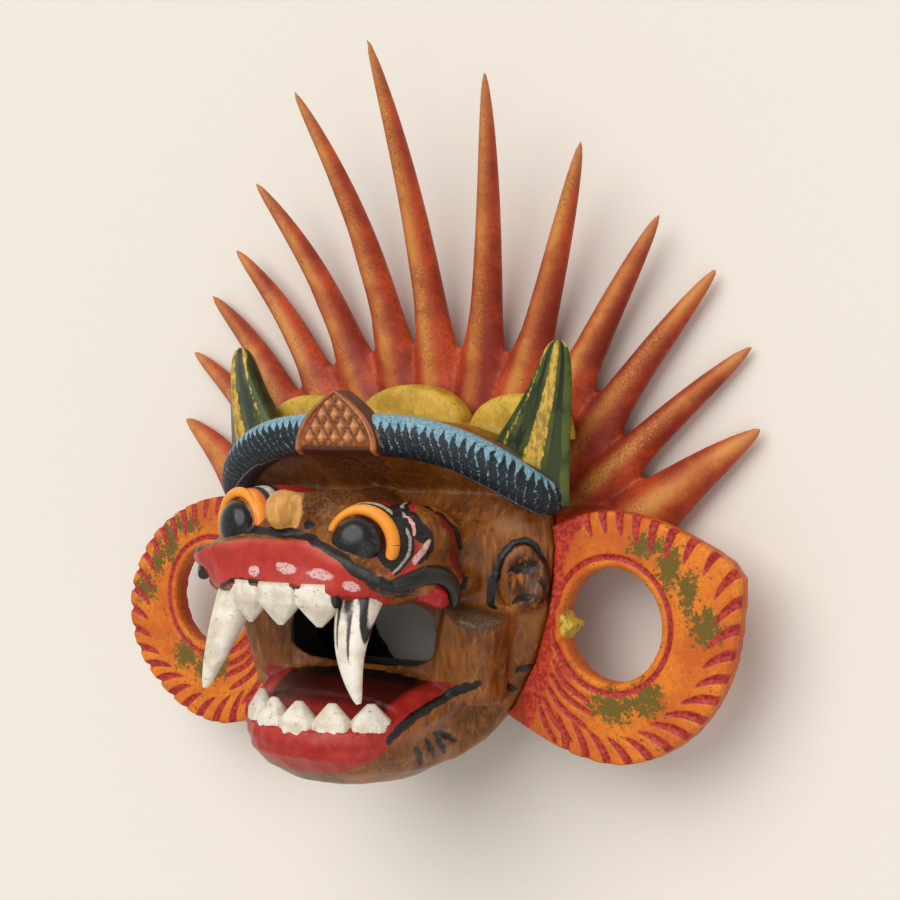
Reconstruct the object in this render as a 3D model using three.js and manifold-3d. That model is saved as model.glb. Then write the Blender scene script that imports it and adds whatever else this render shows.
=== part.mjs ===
// Barong mask: a hollow carved head with gaping jaws, fitted into a crown board of spikes and ring ears.
// Millimetres. The mask lies on its back: +X is the viewer's right, +Y the crown, +Z out of the face.

import * as THREE from 'three';
import { mergeVertices } from 'three/addons/utils/BufferGeometryUtils.js';
import Module from 'manifold-3d';

const wasm = await Module();
wasm.setup();

// Gap between the two pieces where they are glued.
const GLUE_GAP = 0.3;

// The skull is an egg-shaped prism behind the face, widest at the temples, hollowed from the back.
const SKULL = { middleY: 105, halfWidth: 97, below: 118, above: 41, taper: 22, wall: 14, shoulderZ: 46 };
const SKULL_SIDES = 26;

// The crown board lies flat behind the brim and runs round the skull.
const BOARD = { thick: 20, archThick: 14, middleY: 110, halfWidth: 116, halfHeight: 95, power: 3, footY: 99 };
const BOARD_STEPS = 36;

// One row for each spike: root x, root y, tip x, tip y, tip z and how much wider than the others its root is.
// All leave the board at half its thickness.
const SPIKES = [
  [-128, 114, -187, 168, 6, 12],
  [-108, 142, -182, 207, 4],
  [-96, 163, -165.5, 239, 6],
  [-75, 178, -139, 264, 15],
  [-50, 187, -106, 298, 35],
  [-24, 191, -62, 342, 54],
  [2, 192, 0, 360.5, 69],
  [30, 191, 62, 340, 54],
  [57, 187, 106.5, 304, 35],
  [82, 178, 139, 268, 15],
  [98, 160, 166, 241, 6],
  [106, 138, 184, 203, 4],
  [124, 117, 190, 163.5, 6, 13],
];
const SPIKE = {
  width: 20, depth: 20, flare: 13, flareShare: 0.09, taper: 0.48, rings: 5, sides: 8, stem: 26, leftBow: 5, rightBow: 1,
};

// Ears: flat plates in front of the board, each with a round hole.
const EAR = { backZ: 35, frontZ: 45, holeX: 130, holeY: 69, holeRadius: 28, innerX: 60 };
const RIGHT_EAR = [[96, 116], [120, 123.5], [146, 122], [174, 112], [196.5, 99], [199, 84], [192.5, 48],
  [172, 18.5], [140, 2.5], [106, 5], [68, 21]];
const LEFT_EAR = [[96, 116], [116, 124], [134, 123.5], [158, 115], [180, 98], [194, 70], [191, 40],
  [172, 17], [144, 1], [112, 0], [68, 21]];
const EAR_STEPS = 30;
const HOLE_STEPS = 22;
// Gouges along each ear's rim: the first stands at the ear's top, the last at its foot, and they lean more and
// more and grow longer on the way.
const GOUGE = {
  count: 22, from: 106, to: -112, firstLength: 13, lastLength: 19, width: 6.2, depth: 2.6, firstLean: 6, lastLean: 36,
};
const EAR_TOOTH = { baseX: 96, topY: 77, bottomY: 56, tipX: 111, tipY: 68 };
const SHOULDER = { x: 94, y: 112, halfWidth: 28, halfHeight: 13, shrink: 6 };

// Brim: a cap over the skull, edged by a fat roll that sags to both sides.
const ROLL = { backZ: 50, reach: 38, halfWidth: 99, thick: 20, endThick: 15, steps: 18, sides: 10 };
const ROLL_HEIGHT = { middle: 160.5, drop: 31, power: 3.2 };
const CAP = { topY: 167, coveY: 134, cove: 28, backZ: BOARD.thick + GLUE_GAP, backHalfWidth: 82, flare: 1.9 };

const CREST = {
  x: 3, halfWidth: 26, baseY: 153, tipY: 182.5, backZ: 89, frontZ: 99, pitch: 11, cutWidth: 2.4, cutDepth: 1.6,
};
const PETALS = [[-68, 29, 181], [0, 36, 186], [68, 29, 181]];
const PETAL = { baseY: 158, backZ: 22, frontZ: 39 };
const HORN = { outerX: 111, baseY: 134, tipY: 206, z: 50, baseWidth: 58, tipWidth: 16, depth: 22, flutes: 5 };

// Snout: rows of height y, half width, front z, squareness and how far the row droops at its right and
// left end, from the eyes down over the lip rim to the roof of the mouth. The right corner droops in a snarl.
const SNOUT_BACK = 40;
const SNOUT_LEFT_WIDER = 1.06;
const SNOUT_ROWS = [
  [133, 30, 92, 2.4, 8, 8],
  [128, 50, 112, 2.6, 8, 8],
  [119, 61, 126, 3, 10, 8],
  [112, 66, 133, 3.2, 15, 8],
  [110.5, 72, 138, 3.4, 19, 8],
  [105, 73, 138.5, 3.4, 19, 8],
  [98, 66, 139, 3, 15, 8],
  [88, 58, 142, 2.6, 8, 7],
  [84, 50, 131, 2.6, 5, 5],
  [79, 44, 116, 2.6, 0, 0],
];
// Jaw: rows of height y, half width, back z, front z and squareness, from the chin up to the tongue bed.
const JAW_ROWS = [
  [-13, 18, 58, 100, 2.2],
  [-10.5, 31, 46, 110, 2.3],
  [-4, 43, 34, 120, 2.4],
  [5, 49, 28, 129, 2.5],
  [17, 51, 26, 127, 2.6],
  [25, 54, 26, 114, 2.6],
  [34, 57, 26, 97, 2.6],
  [45, 55, 26, 67, 2.4],
];
const ROW_SIDES = 22;

// Eye: radius and height z of each turn of the eye, from the front of the ball back over its raised ring.
// Both eyes look outwards by the same turn about their pivots; the right one is carved lower than the left.
const EYE = { x: 34, rightY: 108.5, leftY: 115, pivotZ: 112, turn: 0.3, sides: 13 };
const EYE_TURNS = [[0, 132], [7.5, 131], [12.8, 127], [13.8, 122], [15.4, 123.5], [17.6, 121.5], [18.8, 115], [19.4, 100],
  [18, 86], [0, 86]];
const BROW = { x: 44, y: 110, z: 90, halfWidth: 24, halfHeight: 18, halfDepth: 28 };
const NOSE = {
  x: -2.5, y: 124, halfWidth: 10, halfHeight: 10.5, frontZ: 141, bridgeY: 122, bridgeWidth: 32, bridgeDepth: 21,
};
// Cheek: a stout peg that leans out and up from the jaw hinge, with an oval facet sliced off its upper front.
const CHEEK = {
  foot: [56, 34, 60], top: [69, 77, 67], footWidth: 42, topWidth: 33, depth: 36, sides: 12,
  facetAt: [75.5, 70, 80], facetFaces: [0.43, 0.7, 0.57],
};

const LOWER_LIP = { halfWidth: 51, frontZ: 129, backZ: 58, y: 12, rise: 25, radius: 7.5, steps: 14 };
const MOUTH = { halfWidth: 47, topY: 77, bottomY: 44, backZ: 40, frontZ: 160 };

// Teeth: x and z of each root, and how far it is turned towards its side.
const UPPER_TEETH = { rootY: 90, tipY: 70, width: 23, depth: 12 };
const UPPER_PLACES = [[-22, 133, -0.25], [0, 136, 0], [22, 133, 0.25]];
const FANG = { rootX: 38.5, rootY: 84, rootZ: 122, tipX: 49, tipY: 35, tipZ: 137, width: 25, depth: 16 };
const LOWER_TEETH = { rootY: 10, tipY: 30, width: 19.5, depth: 12 };
const LOWER_PLACES = [[-35, 111, -0.7], [-18.5, 120, -0.25], [0, 123, 0], [18.5, 120, 0.25], [35, 111, 0.7]];

// Small man-like ears carved on the sides of the skull.
const SIDE_EAR = { x: 84, y: 91, z: 53, halfWidth: 15, halfHeight: 19, halfDepth: 10, bowl: 0.7, lean: 0.62 };

const RUST = 0xa8452a;
const BROWN = 0x8a5630;

// Geometry helpers

// A closed skin through rings of points that all have the same count, with a flat fan on both ends.
function loft(rings) {
  const sides = rings[0].length;
  const points = rings.flat();
  const faces = [];
  for (let row = 0; row + 1 < rings.length; row += 1) {
    for (let side = 0; side < sides; side += 1) {
      const next = (side + 1) % sides;
      const a = row * sides + side;
      const b = row * sides + next;
      faces.push(a, b, b + sides, a, b + sides, a + sides);
    }
  }
  for (const [row, flip] of [[0, true], [rings.length - 1, false]]) {
    const middle = new THREE.Vector3();
    rings[row].forEach((point) => middle.addScaledVector(point, 1 / sides));
    points.push(middle);
    for (let side = 0; side < sides; side += 1) {
      const a = row * sides + side;
      const b = row * sides + ((side + 1) % sides);
      faces.push(...(flip ? [b, a] : [a, b]), points.length - 1);
    }
  }
  const geometry = new THREE.BufferGeometry().setFromPoints(points);
  geometry.setIndex(faces);
  return geometry;
}

function signedVolume(positions, index) {
  const corner = (i) => new THREE.Vector3().fromArray(positions, 3 * index[i]);
  let volume = 0;
  for (let i = 0; i < index.length; i += 3) {
    volume += corner(i).dot(corner(i + 1).cross(corner(i + 2))) / 6;
  }
  return volume;
}

// Turns a closed three.js geometry into a solid that can be joined and cut, with its faces outwards.
function toSolid(geometry) {
  const bare = geometry.clone();
  bare.deleteAttribute('normal');
  bare.deleteAttribute('uv');
  const merged = mergeVertices(bare, 1e-4);
  const positions = new Float32Array(merged.attributes.position.array);
  const index = new Uint32Array(merged.index.array);
  if (signedVolume(positions, index) < 0) {
    for (let i = 0; i < index.length; i += 3) {
      [index[i], index[i + 1]] = [index[i + 1], index[i]];
    }
  }
  return new wasm.Manifold(new wasm.Mesh({ numProp: 3, vertProperties: positions, triVerts: index }));
}

function toGeometry(solid) {
  const mesh = solid.getMesh();
  const geometry = new THREE.BufferGeometry();
  geometry.setAttribute('position', new THREE.BufferAttribute(new Float32Array(mesh.vertProperties), 3));
  geometry.setIndex(new THREE.BufferAttribute(new Uint32Array(mesh.triVerts), 1));
  geometry.computeVertexNormals();
  return geometry;
}

function join(solids) {
  return solids.reduce((whole, solid) => whole.add(solid));
}

function signedPower(value, power) {
  return Math.sign(value) * Math.abs(value) ** power;
}

// Unit superellipse: power 2 is round, larger is squarer.
function squircle(turn, power) {
  return [signedPower(Math.cos(turn), 2 / power), signedPower(Math.sin(turn), 2 / power)];
}

function turns(count) {
  return Array.from({ length: count }, (_, i) => (2 * Math.PI * i) / count);
}

function ellipsoid(x, y, z, halfWidth, halfHeight, halfDepth, around = 16, along = 10) {
  const geometry = new THREE.SphereGeometry(1, around, along);
  geometry.scale(halfWidth, halfHeight, halfDepth);
  geometry.translate(x, y, z);
  return toSolid(geometry);
}

// Slab between two heights with an outline in the face plane.
function slab(outline, backZ, frontZ, holes = []) {
  const points = outline.map(([x, y]) => new THREE.Vector2(x, y));
  const shape = new THREE.Shape(THREE.ShapeUtils.isClockWise(points) ? points.reverse() : points);
  shape.holes = holes.map((hole) => new THREE.Path(hole.map(([x, y]) => new THREE.Vector2(x, y))));
  const geometry = new THREE.ExtrudeGeometry(shape, { depth: frontZ - backZ, bevelEnabled: false });
  geometry.translate(0, 0, backZ);
  return toSolid(geometry);
}

// Turns a solid about an upright line of the face.
function turnedAbout(solid, point, angle) {
  const degrees = THREE.MathUtils.radToDeg(angle);
  return solid.translate([-point.x, -point.y, -point.z]).rotate([0, degrees, 0])
    .translate([point.x, point.y, point.z]);
}

function mirrored(outline) {
  return outline.map(([x, y]) => [-x, y]).reverse();
}

// Tapered body along a path; section gives half width, half depth and squareness at a share of its length.
function tapered(path, across, section, sides) {
  const rings = path.map((centre, i) => {
    const share = i / (path.length - 1);
    const ahead = path[Math.min(i + 1, path.length - 1)].clone().sub(path[Math.max(i - 1, 0)]).normalize();
    const side = across.clone().addScaledVector(ahead, -across.dot(ahead)).normalize();
    const front = new THREE.Vector3().crossVectors(side, ahead).normalize();
    const [halfWidth, halfDepth, power, flutes = 0, fluteDepth = 0] = section(share);
    return turns(sides).map((turn) => {
      const [u, v] = squircle(turn, power);
      const swell = 1 - fluteDepth * (0.5 - 0.5 * Math.cos(flutes * turn));
      return centre.clone()
        .addScaledVector(side, u * halfWidth * swell)
        .addScaledVector(front, v * halfDepth * swell);
    });
  });
  return toSolid(loft(rings));
}

function straightPath(from, to, steps) {
  return Array.from({ length: steps + 1 }, (_, i) => new THREE.Vector3().lerpVectors(from, to, i / steps));
}

// Stack of superellipse layers, one for each row of height, half width, back, front and squareness.
function layered(rows) {
  return toSolid(loft(rows.map(([y, halfWidth, backZ, frontZ, power]) => {
    const middleZ = (backZ + frontZ) / 2;
    const halfDepth = (frontZ - backZ) / 2;
    return turns(ROW_SIDES).map((turn) => {
      const [u, v] = squircle(turn, power);
      return new THREE.Vector3(u * halfWidth, y, middleZ + v * halfDepth);
    });
  })));
}

// Crown board

// Share of a spike's length at a share of its rings, which stand closest at the tip.
function spikeShare(step) {
  return Math.sin((Math.PI / 2) * Math.max(0, step)) ** 1.2;
}

function spike([rootX, rootY, tipX, tipY, tipZ, wider = 0]) {
  const rootZ = BOARD.thick / 2;
  const across = new THREE.Vector3(rootY - tipY, tipX - rootX, 0).normalize();
  const bow = Math.abs(tipX) < 30 ? 0 : (tipX > 0 ? SPIKE.rightBow : -SPIKE.leftBow);
  const path = Array.from({ length: SPIKE.rings + 1 }, (_, i) => {
    const share = spikeShare(i / SPIKE.rings);
    const bend = 0.5 * share + 0.5 * share ** 2;
    return new THREE.Vector3(
      THREE.MathUtils.lerp(rootX, tipX, share),
      THREE.MathUtils.lerp(rootY, tipY, share),
      THREE.MathUtils.lerp(rootZ, tipZ, bend),
    ).addScaledVector(across, bow * Math.sin(Math.PI * share));
  });
  path.unshift(path[0].clone().add(new THREE.Vector3(-across.y, across.x, 0).multiplyScalar(SPIKE.stem - wider)));
  return tapered(path, across, (step) => {
    const share = spikeShare((step * (SPIKE.rings + 1) - 1) / SPIKE.rings);
    const shrink = Math.max(0.07, (1 - share) ** SPIKE.taper);
    const flare = Math.exp(-share / SPIKE.flareShare);
    const halfWidth = (SPIKE.width * shrink + SPIKE.flare * flare + wider * (1 - share)) / 2;
    const halfDepth = (SPIKE.depth * shrink + 0.3 * SPIKE.flare * flare) / 2;
    return [halfWidth, Math.min(halfDepth, rootZ), 1.6];
  }, SPIKE.sides);
}

function skullOutline(grow) {
  return turns(SKULL_SIDES).map((turn) => {
    const [u, v] = squircle(turn, Math.sin(turn) > 0 ? 2.6 : 2.05);
    const reach = v > 0 ? SKULL.above : SKULL.below;
    return [u * (SKULL.halfWidth + grow), SKULL.middleY + v * (reach + grow)];
  });
}

// Egg-shaped rings, one for each height z and the amount by which that ring is smaller than the temples.
function eggStack(rows) {
  return toSolid(loft(rows.map(([z, shrink]) => skullOutline(-shrink)
    .map(([x, y]) => new THREE.Vector3(x, y, z)))));
}

// The skull narrows to its back rim, so it wedges into the board; grow makes it larger all round.
function skull(grow = 0) {
  const z = SKULL.shoulderZ;
  const rows = [[0, SKULL.taper], [z - 5, 0], [z, 0], [z + 7, 7], [z + 15, 20], [z + 28, 33]];
  return eggStack(rows.map(([height, shrink], i) => [i === 0 ? height - grow : height, shrink - grow]));
}

function arch() {
  const outline = turns(BOARD_STEPS).map((turn) => {
    const [u, v] = squircle(turn, BOARD.power);
    return [u * BOARD.halfWidth, Math.max(BOARD.footY, BOARD.middleY + v * BOARD.halfHeight)];
  });
  const kept = outline.filter(([x, y], i) => {
    const [otherX, otherY] = outline[(i + 1) % outline.length];
    return Math.hypot(x - otherX, y - otherY) > 1e-3;
  });
  return slab(kept, 0, BOARD.archThick);
}

function earOutline(corners) {
  const curve = new THREE.SplineCurve(corners.map(([x, y]) => new THREE.Vector2(x, y)));
  const edge = curve.getSpacedPoints(EAR_STEPS).map((point) => [point.x, point.y]);
  return [...edge, [EAR.innerX, 40], [EAR.innerX, 90]];
}

// One leaf-shaped gouge that runs in from the rim of an ear towards its hole.
function gouge(outline, share) {
  const angle = THREE.MathUtils.degToRad(THREE.MathUtils.lerp(GOUGE.from, GOUGE.to, share));
  const sweep = Math.min(1, 1.6 * share);
  const length = THREE.MathUtils.lerp(GOUGE.firstLength, GOUGE.lastLength, sweep);
  const direction = new THREE.Vector2(Math.cos(angle), Math.sin(angle));
  const hole = new THREE.Vector2(EAR.holeX, EAR.holeY);
  let reach = 0;
  for (let i = 0; i + 1 < outline.length; i += 1) {
    const a = new THREE.Vector2(...outline[i]).sub(hole);
    const b = new THREE.Vector2(...outline[i + 1]).sub(hole);
    const crossA = direction.cross(a);
    const crossB = direction.cross(b);
    const meet = a.lerp(b, crossA / (crossA - crossB));
    if (crossA * crossB <= 0 && meet.dot(direction) > 0) {
      reach = Math.max(reach, meet.dot(direction));
    }
  }
  const rim = hole.clone().addScaledVector(direction, reach + 1.5);
  const lean = angle + THREE.MathUtils.degToRad(THREE.MathUtils.lerp(GOUGE.firstLean, GOUGE.lastLean, sweep));
  const inner = rim.clone().sub(new THREE.Vector2(Math.cos(lean), Math.sin(lean)).multiplyScalar(length));
  const side = new THREE.Vector2(-direction.y, direction.x);
  const corner = (place, shift, z) => new THREE.Vector3(place.x + side.x * shift, place.y + side.y * shift, z);
  const top = EAR.frontZ + 1;
  const ring = (place, half, depth) => [
    corner(place, half, top), corner(place, 0, EAR.frontZ - depth), corner(place, -half, top)];
  return toSolid(loft([
    ring(rim, GOUGE.width / 2, GOUGE.depth),
    ring(inner, 0.4, -0.5),
  ]));
}

function ear(corners) {
  const outline = earOutline(corners);
  const hole = turns(HOLE_STEPS).map((turn) => [
    EAR.holeX + EAR.holeRadius * Math.cos(turn),
    EAR.holeY + EAR.holeRadius * Math.sin(turn),
  ]);
  let plate = slab(outline, EAR.backZ, EAR.frontZ, [hole]);
  for (let i = 0; i < GOUGE.count; i += 1) {
    plate = plate.subtract(gouge(outline, i / (GOUGE.count - 1)));
  }
  const tooth = slab([[EAR_TOOTH.baseX, EAR_TOOTH.bottomY], [EAR_TOOTH.tipX, EAR_TOOTH.tipY],
    [EAR_TOOTH.baseX, EAR_TOOTH.topY]], EAR.backZ, EAR.frontZ + 2);
  return plate.add(tooth);
}

// Block that carries an ear forward from the board.
function earShoulder() {
  const rows = [[0, 0], [20, 0], [EAR.frontZ - 5, SHOULDER.shrink]];
  return toSolid(loft(rows.map(([z, shrink]) => turns(16).map((turn) => {
    const [u, v] = squircle(turn, 3);
    const x = SHOULDER.x + u * (SHOULDER.halfWidth - shrink);
    return new THREE.Vector3(x, SHOULDER.y + v * (SHOULDER.halfHeight - shrink), z);
  }))));
}

function crownBoard() {
  const rightSide = ear(RIGHT_EAR).add(earShoulder());
  const leftSide = ear(LEFT_EAR).add(earShoulder()).mirror([1, 0, 0]);
  const board = join([arch(), rightSide, leftSide, ...SPIKES.map(spike)]);
  const socket = turnedAbout(sideEarShell(2 * GLUE_GAP), SIDE_EAR, SIDE_EAR.lean);
  return board.subtract(skull(GLUE_GAP)).subtract(bothSides(socket));
}

// Head

function hollow() {
  return eggStack([[-1, SKULL.wall + SKULL.taper], [SKULL.shoulderZ - 8, SKULL.wall + 3],
    [SKULL.shoulderZ + 9, SKULL.wall + 16]]);
}

function rollHeight(x) {
  return ROLL_HEIGHT.middle - ROLL_HEIGHT.drop * Math.abs(x / ROLL.halfWidth) ** ROLL_HEIGHT.power;
}

function rollPoint(turn, shrink = 0) {
  const x = (ROLL.halfWidth - shrink) * Math.cos(turn);
  return new THREE.Vector3(x, rollHeight(x), ROLL.backZ + (ROLL.reach - shrink) * Math.sin(turn));
}

function roll() {
  const path = Array.from({ length: ROLL.steps + 1 }, (_, i) => rollPoint((Math.PI * i) / ROLL.steps));
  return tapered(path, new THREE.Vector3(0, 1, 0), (share) => {
    const toEnd = Math.abs(2 * share - 1) ** 4;
    const half = THREE.MathUtils.lerp(ROLL.thick, ROLL.endThick, toEnd) / 2;
    return [half, half * 0.95, 2.2];
  }, ROLL.sides);
}

// Cap and cove between the roll and the skull, as slices across the head.
function cap() {
  const slices = Array.from({ length: ROLL.steps - 1 }, (_, i) => {
    const { x, y, z } = rollPoint((Math.PI * (i + 1)) / ROLL.steps);
    const drop = ROLL_HEIGHT.middle - y;
    const backZ = CAP.backZ + CAP.flare * Math.max(0, Math.abs(x) - CAP.backHalfWidth);
    const coveY = Math.min(CAP.coveY - 0.4 * drop, y - 9);
    const coveZ = Math.max(backZ + 1, z - CAP.cove);
    return [
      [coveY, backZ], [coveY, coveZ], [y - 8, z - 4], [y, z], [CAP.topY - drop - 2, z - 5],
      [CAP.topY - drop, Math.max(backZ + 1, z - 20)], [CAP.topY - drop, backZ],
    ].map(([py, pz]) => new THREE.Vector3(x, py, pz));
  });
  return toSolid(loft(slices));
}

function crestOutline() {
  const side = Array.from({ length: 7 }, (_, i) => {
    const share = i / 6;
    return [CREST.halfWidth * (1 - share ** 2.1), THREE.MathUtils.lerp(CREST.baseY, CREST.tipY, share)];
  });
  return [...side, ...mirrored(side).slice(1)].map(([x, y]) => [CREST.x + x, y]);
}

// Long V-shaped cutter between two points on a flat front face.
function vCut(fromX, fromY, toX, toY, frontZ, width, depth) {
  const along = new THREE.Vector2(toX - fromX, toY - fromY).normalize();
  const ring = (x, y) => [[-1, 1], [0, -depth], [1, 1]].map(([side, z]) => new THREE.Vector3(
    x - along.y * side * width / 2, y + along.x * side * width / 2, frontZ + z));
  return toSolid(loft([ring(fromX, fromY), ring(toX, toY)]));
}

function crest() {
  let plaque = slab(crestOutline(), CREST.backZ, CREST.frontZ);
  const sweep = 0.42 * (CREST.tipY - CREST.baseY);
  for (const slope of [-1, 1]) {
    for (let step = -1.5; step <= 1.5; step += 1) {
      const x = CREST.x + step * CREST.pitch;
      plaque = plaque.subtract(vCut(x - slope * sweep, CREST.baseY - 4,
        x + slope * sweep, CREST.tipY + 4, CREST.frontZ, CREST.cutWidth, CREST.cutDepth));
    }
  }
  return plaque;
}

function petal([x, halfWidth, topY]) {
  const height = topY - PETAL.baseY;
  const outline = Array.from({ length: 13 }, (_, i) => {
    const turn = (Math.PI * i) / 12;
    return [halfWidth * Math.cos(turn), PETAL.baseY + height * Math.sin(turn) ** 0.8];
  });
  const centre = new THREE.Vector2(0, PETAL.baseY);
  const row = (z, shrink) => outline.map(([px, py]) => {
    const point = new THREE.Vector2(px, py).lerp(centre, shrink);
    return new THREE.Vector3(x + point.x, point.y, z);
  });
  return toSolid(loft([row(PETAL.backZ, 0.12), row(PETAL.backZ + 5, 0), row(PETAL.frontZ - 4, 0.06),
    row(PETAL.frontZ, 0.3)]));
}

// A fluted leaf: its outer edge stands straight, its inner edge sweeps in from a wide foot.
function horn() {
  const steps = 6;
  const width = (share) => HORN.tipWidth + (HORN.baseWidth - HORN.tipWidth) * (1 - share) ** 1.7;
  const path = Array.from({ length: steps + 1 }, (_, i) => new THREE.Vector3(
    HORN.outerX - width(i / steps) / 2,
    THREE.MathUtils.lerp(HORN.baseY, HORN.tipY, (i / steps) ** 0.85),
    HORN.z,
  ));
  return tapered(path, new THREE.Vector3(1, 0, 0), (share) => {
    const round = Math.sqrt(1 - 0.9 * share ** 8);
    const halfDepth = (HORN.depth / 2) * (1 - 0.45 * share);
    return [(width(share) / 2) * round, halfDepth * round, 2, HORN.flutes, 0.16];
  }, 3 * HORN.flutes);
}

function snout() {
  const middleX = 0.2;
  const rows = SNOUT_ROWS.map(([y, halfWidth, frontZ, power, rightDroop, leftDroop]) => {
    const middleZ = (SNOUT_BACK + frontZ) / 2;
    return turns(ROW_SIDES).map((turn) => {
      const [u, v] = squircle(turn, power);
      const droop = u > 0 ? rightDroop : leftDroop;
      const reach = u > 0 ? halfWidth : halfWidth * SNOUT_LEFT_WIDER;
      const side = THREE.MathUtils.smoothstep(Math.abs(u), middleX, 1);
      return new THREE.Vector3(u * reach, y - droop * side, middleZ + v * (frontZ - SNOUT_BACK) / 2);
    });
  });
  return toSolid(loft(rows));
}

function nose() {
  const back = new THREE.Vector3(0, NOSE.bridgeY, 58);
  const front = new THREE.Vector3(0, NOSE.bridgeY, NOSE.frontZ - 9);
  const bridge = tapered(straightPath(back, front, 3), new THREE.Vector3(1, 0, 0), (share) => [
    (NOSE.bridgeWidth / 2) * (1 - 0.3 * share), NOSE.bridgeDepth / 2, 2.8], 12);
  const bulb = ellipsoid(NOSE.x, NOSE.y, NOSE.frontZ - 11, NOSE.halfWidth, NOSE.halfHeight, 11, 10, 6);
  return bridge.add(bulb);
}

function eye(y) {
  const brow = ellipsoid(BROW.x, BROW.y, BROW.z, BROW.halfWidth, BROW.halfHeight, BROW.halfDepth, 12, 7);
  const profile = EYE_TURNS.map(([radius, z]) => new THREE.Vector2(radius, z));
  const ball = new THREE.LatheGeometry(profile, EYE.sides);
  ball.rotateX(Math.PI / 2);
  ball.translate(EYE.x, y, 0);
  return brow.add(turnedAbout(toSolid(ball), { x: EYE.x, y, z: EYE.pivotZ }, EYE.turn));
}

function cheek() {
  const path = straightPath(new THREE.Vector3(...CHEEK.foot), new THREE.Vector3(...CHEEK.top), 3);
  const peg = tapered(path, new THREE.Vector3(1, 0, 0), (share) => [
    THREE.MathUtils.lerp(CHEEK.footWidth, CHEEK.topWidth, share ** 0.7) / 2, CHEEK.depth / 2, 2.3], CHEEK.sides);
  const facing = new THREE.Vector3(...CHEEK.facetFaces).normalize();
  const reach = facing.dot(new THREE.Vector3(...CHEEK.facetAt));
  return peg.trimByPlane(facing.negate().toArray(), -reach);
}

// Blocky tooth that narrows to a blunt point, facing the turned direction.
function tooth([x, z, turned], { rootY, tipY, width, depth }) {
  const path = straightPath(new THREE.Vector3(x, rootY, z), new THREE.Vector3(x, tipY, z), 2);
  const across = new THREE.Vector3(Math.cos(turned), 0, -Math.sin(turned));
  return tapered(path, across, (share) => {
    const swell = share < 0.6 ? 1 : 0.3;
    return [(width / 2) * swell, (depth / 2) * swell, 3];
  }, 8);
}

function fang() {
  const root = new THREE.Vector3(FANG.rootX, FANG.rootY, FANG.rootZ);
  const tip = new THREE.Vector3(FANG.tipX, FANG.tipY, FANG.tipZ);
  const steps = 5;
  const path = straightPath(root, tip, steps).map((point, i) => {
    const bow = Math.sin((Math.PI * i) / steps) * 4;
    return point.add(new THREE.Vector3(-bow * 0.6, 0, bow));
  });
  return tapered(path, new THREE.Vector3(1, 0, 0), (share) => {
    const shrink = (1 - share) ** 0.75;
    return [1 + (FANG.width / 2 - 1) * shrink, 1 + (FANG.depth / 2 - 1) * shrink, 2];
  }, 8);
}

function lowerLip() {
  const path = Array.from({ length: LOWER_LIP.steps + 1 }, (_, i) => {
    const turn = Math.PI * (0.02 + 0.96 * (i / LOWER_LIP.steps));
    const [u, v] = squircle(turn, 2.5);
    const back = (1 - v) ** 1.4;
    return new THREE.Vector3(
      u * (LOWER_LIP.halfWidth + 5 * back),
      LOWER_LIP.y + LOWER_LIP.rise * back,
      LOWER_LIP.backZ + (LOWER_LIP.frontZ - LOWER_LIP.backZ - 5) * v,
    );
  });
  return tapered(path, new THREE.Vector3(0, 1, 0), () => [LOWER_LIP.radius, LOWER_LIP.radius * 0.9, 2], 7);
}

function mouth() {
  const row = (z, halfWidth, topY, bottomY) => {
    const middleY = (topY + bottomY) / 2;
    return turns(ROW_SIDES).map((turn) => {
      const [u, v] = squircle(turn, 4);
      return new THREE.Vector3(u * halfWidth, middleY + v * (topY - bottomY) / 2, z);
    });
  };
  return toSolid(loft([
    row(MOUTH.backZ, MOUTH.halfWidth - 3, MOUTH.topY - 1, MOUTH.bottomY + 2),
    row(86, MOUTH.halfWidth, MOUTH.topY, MOUTH.bottomY),
    row(MOUTH.frontZ, MOUTH.halfWidth + 14, MOUTH.topY, MOUTH.bottomY),
  ]));
}

function sideEarShell(grow = 0) {
  return ellipsoid(SIDE_EAR.x, SIDE_EAR.y, SIDE_EAR.z, SIDE_EAR.halfWidth + grow, SIDE_EAR.halfHeight + grow,
    SIDE_EAR.halfDepth + grow, 12, 6);
}

function sideEar() {
  const bowl = ellipsoid(SIDE_EAR.x + 2, SIDE_EAR.y, SIDE_EAR.z + SIDE_EAR.halfDepth,
    SIDE_EAR.halfWidth * SIDE_EAR.bowl, SIDE_EAR.halfHeight * SIDE_EAR.bowl, SIDE_EAR.halfDepth * 0.7, 10, 6);
  return turnedAbout(sideEarShell().subtract(bowl), SIDE_EAR, SIDE_EAR.lean);
}

function bothSides(solid) {
  return solid.add(solid.mirror([1, 0, 0]));
}

function head() {
  const block = join([skull(), cap(), roll(), snout(), layered(JAW_ROWS), bothSides(cheek())]);
  const opened = block.subtract(hollow()).subtract(mouth());
  const teeth = UPPER_PLACES.map((place) => tooth(place, UPPER_TEETH));
  const lower = LOWER_PLACES.map((place) => tooth(place, LOWER_TEETH));
  return join([opened, crest(), ...PETALS.map(petal), bothSides(horn()), nose(), eye(EYE.rightY), eye(EYE.leftY).mirror([1, 0, 0]), lowerLip(),
    ...teeth, ...lower, bothSides(fang()), bothSides(sideEar())]);
}

// Assembly

function wooden(name, solid, colour) {
  const material = new THREE.MeshStandardMaterial({ color: colour, roughness: 0.55, metalness: 0 });
  const mesh = new THREE.Mesh(toGeometry(solid), material);
  mesh.name = name;
  return mesh;
}

const group = new THREE.Group();
group.add(wooden('head', head(), BROWN));
group.add(wooden('crown_board', crownBoard(), RUST));

const box = new THREE.Box3().setFromObject(group);
const centre = box.getCenter(new THREE.Vector3());
group.position.set(-centre.x, -centre.y, -box.min.z);

export default group;
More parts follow.
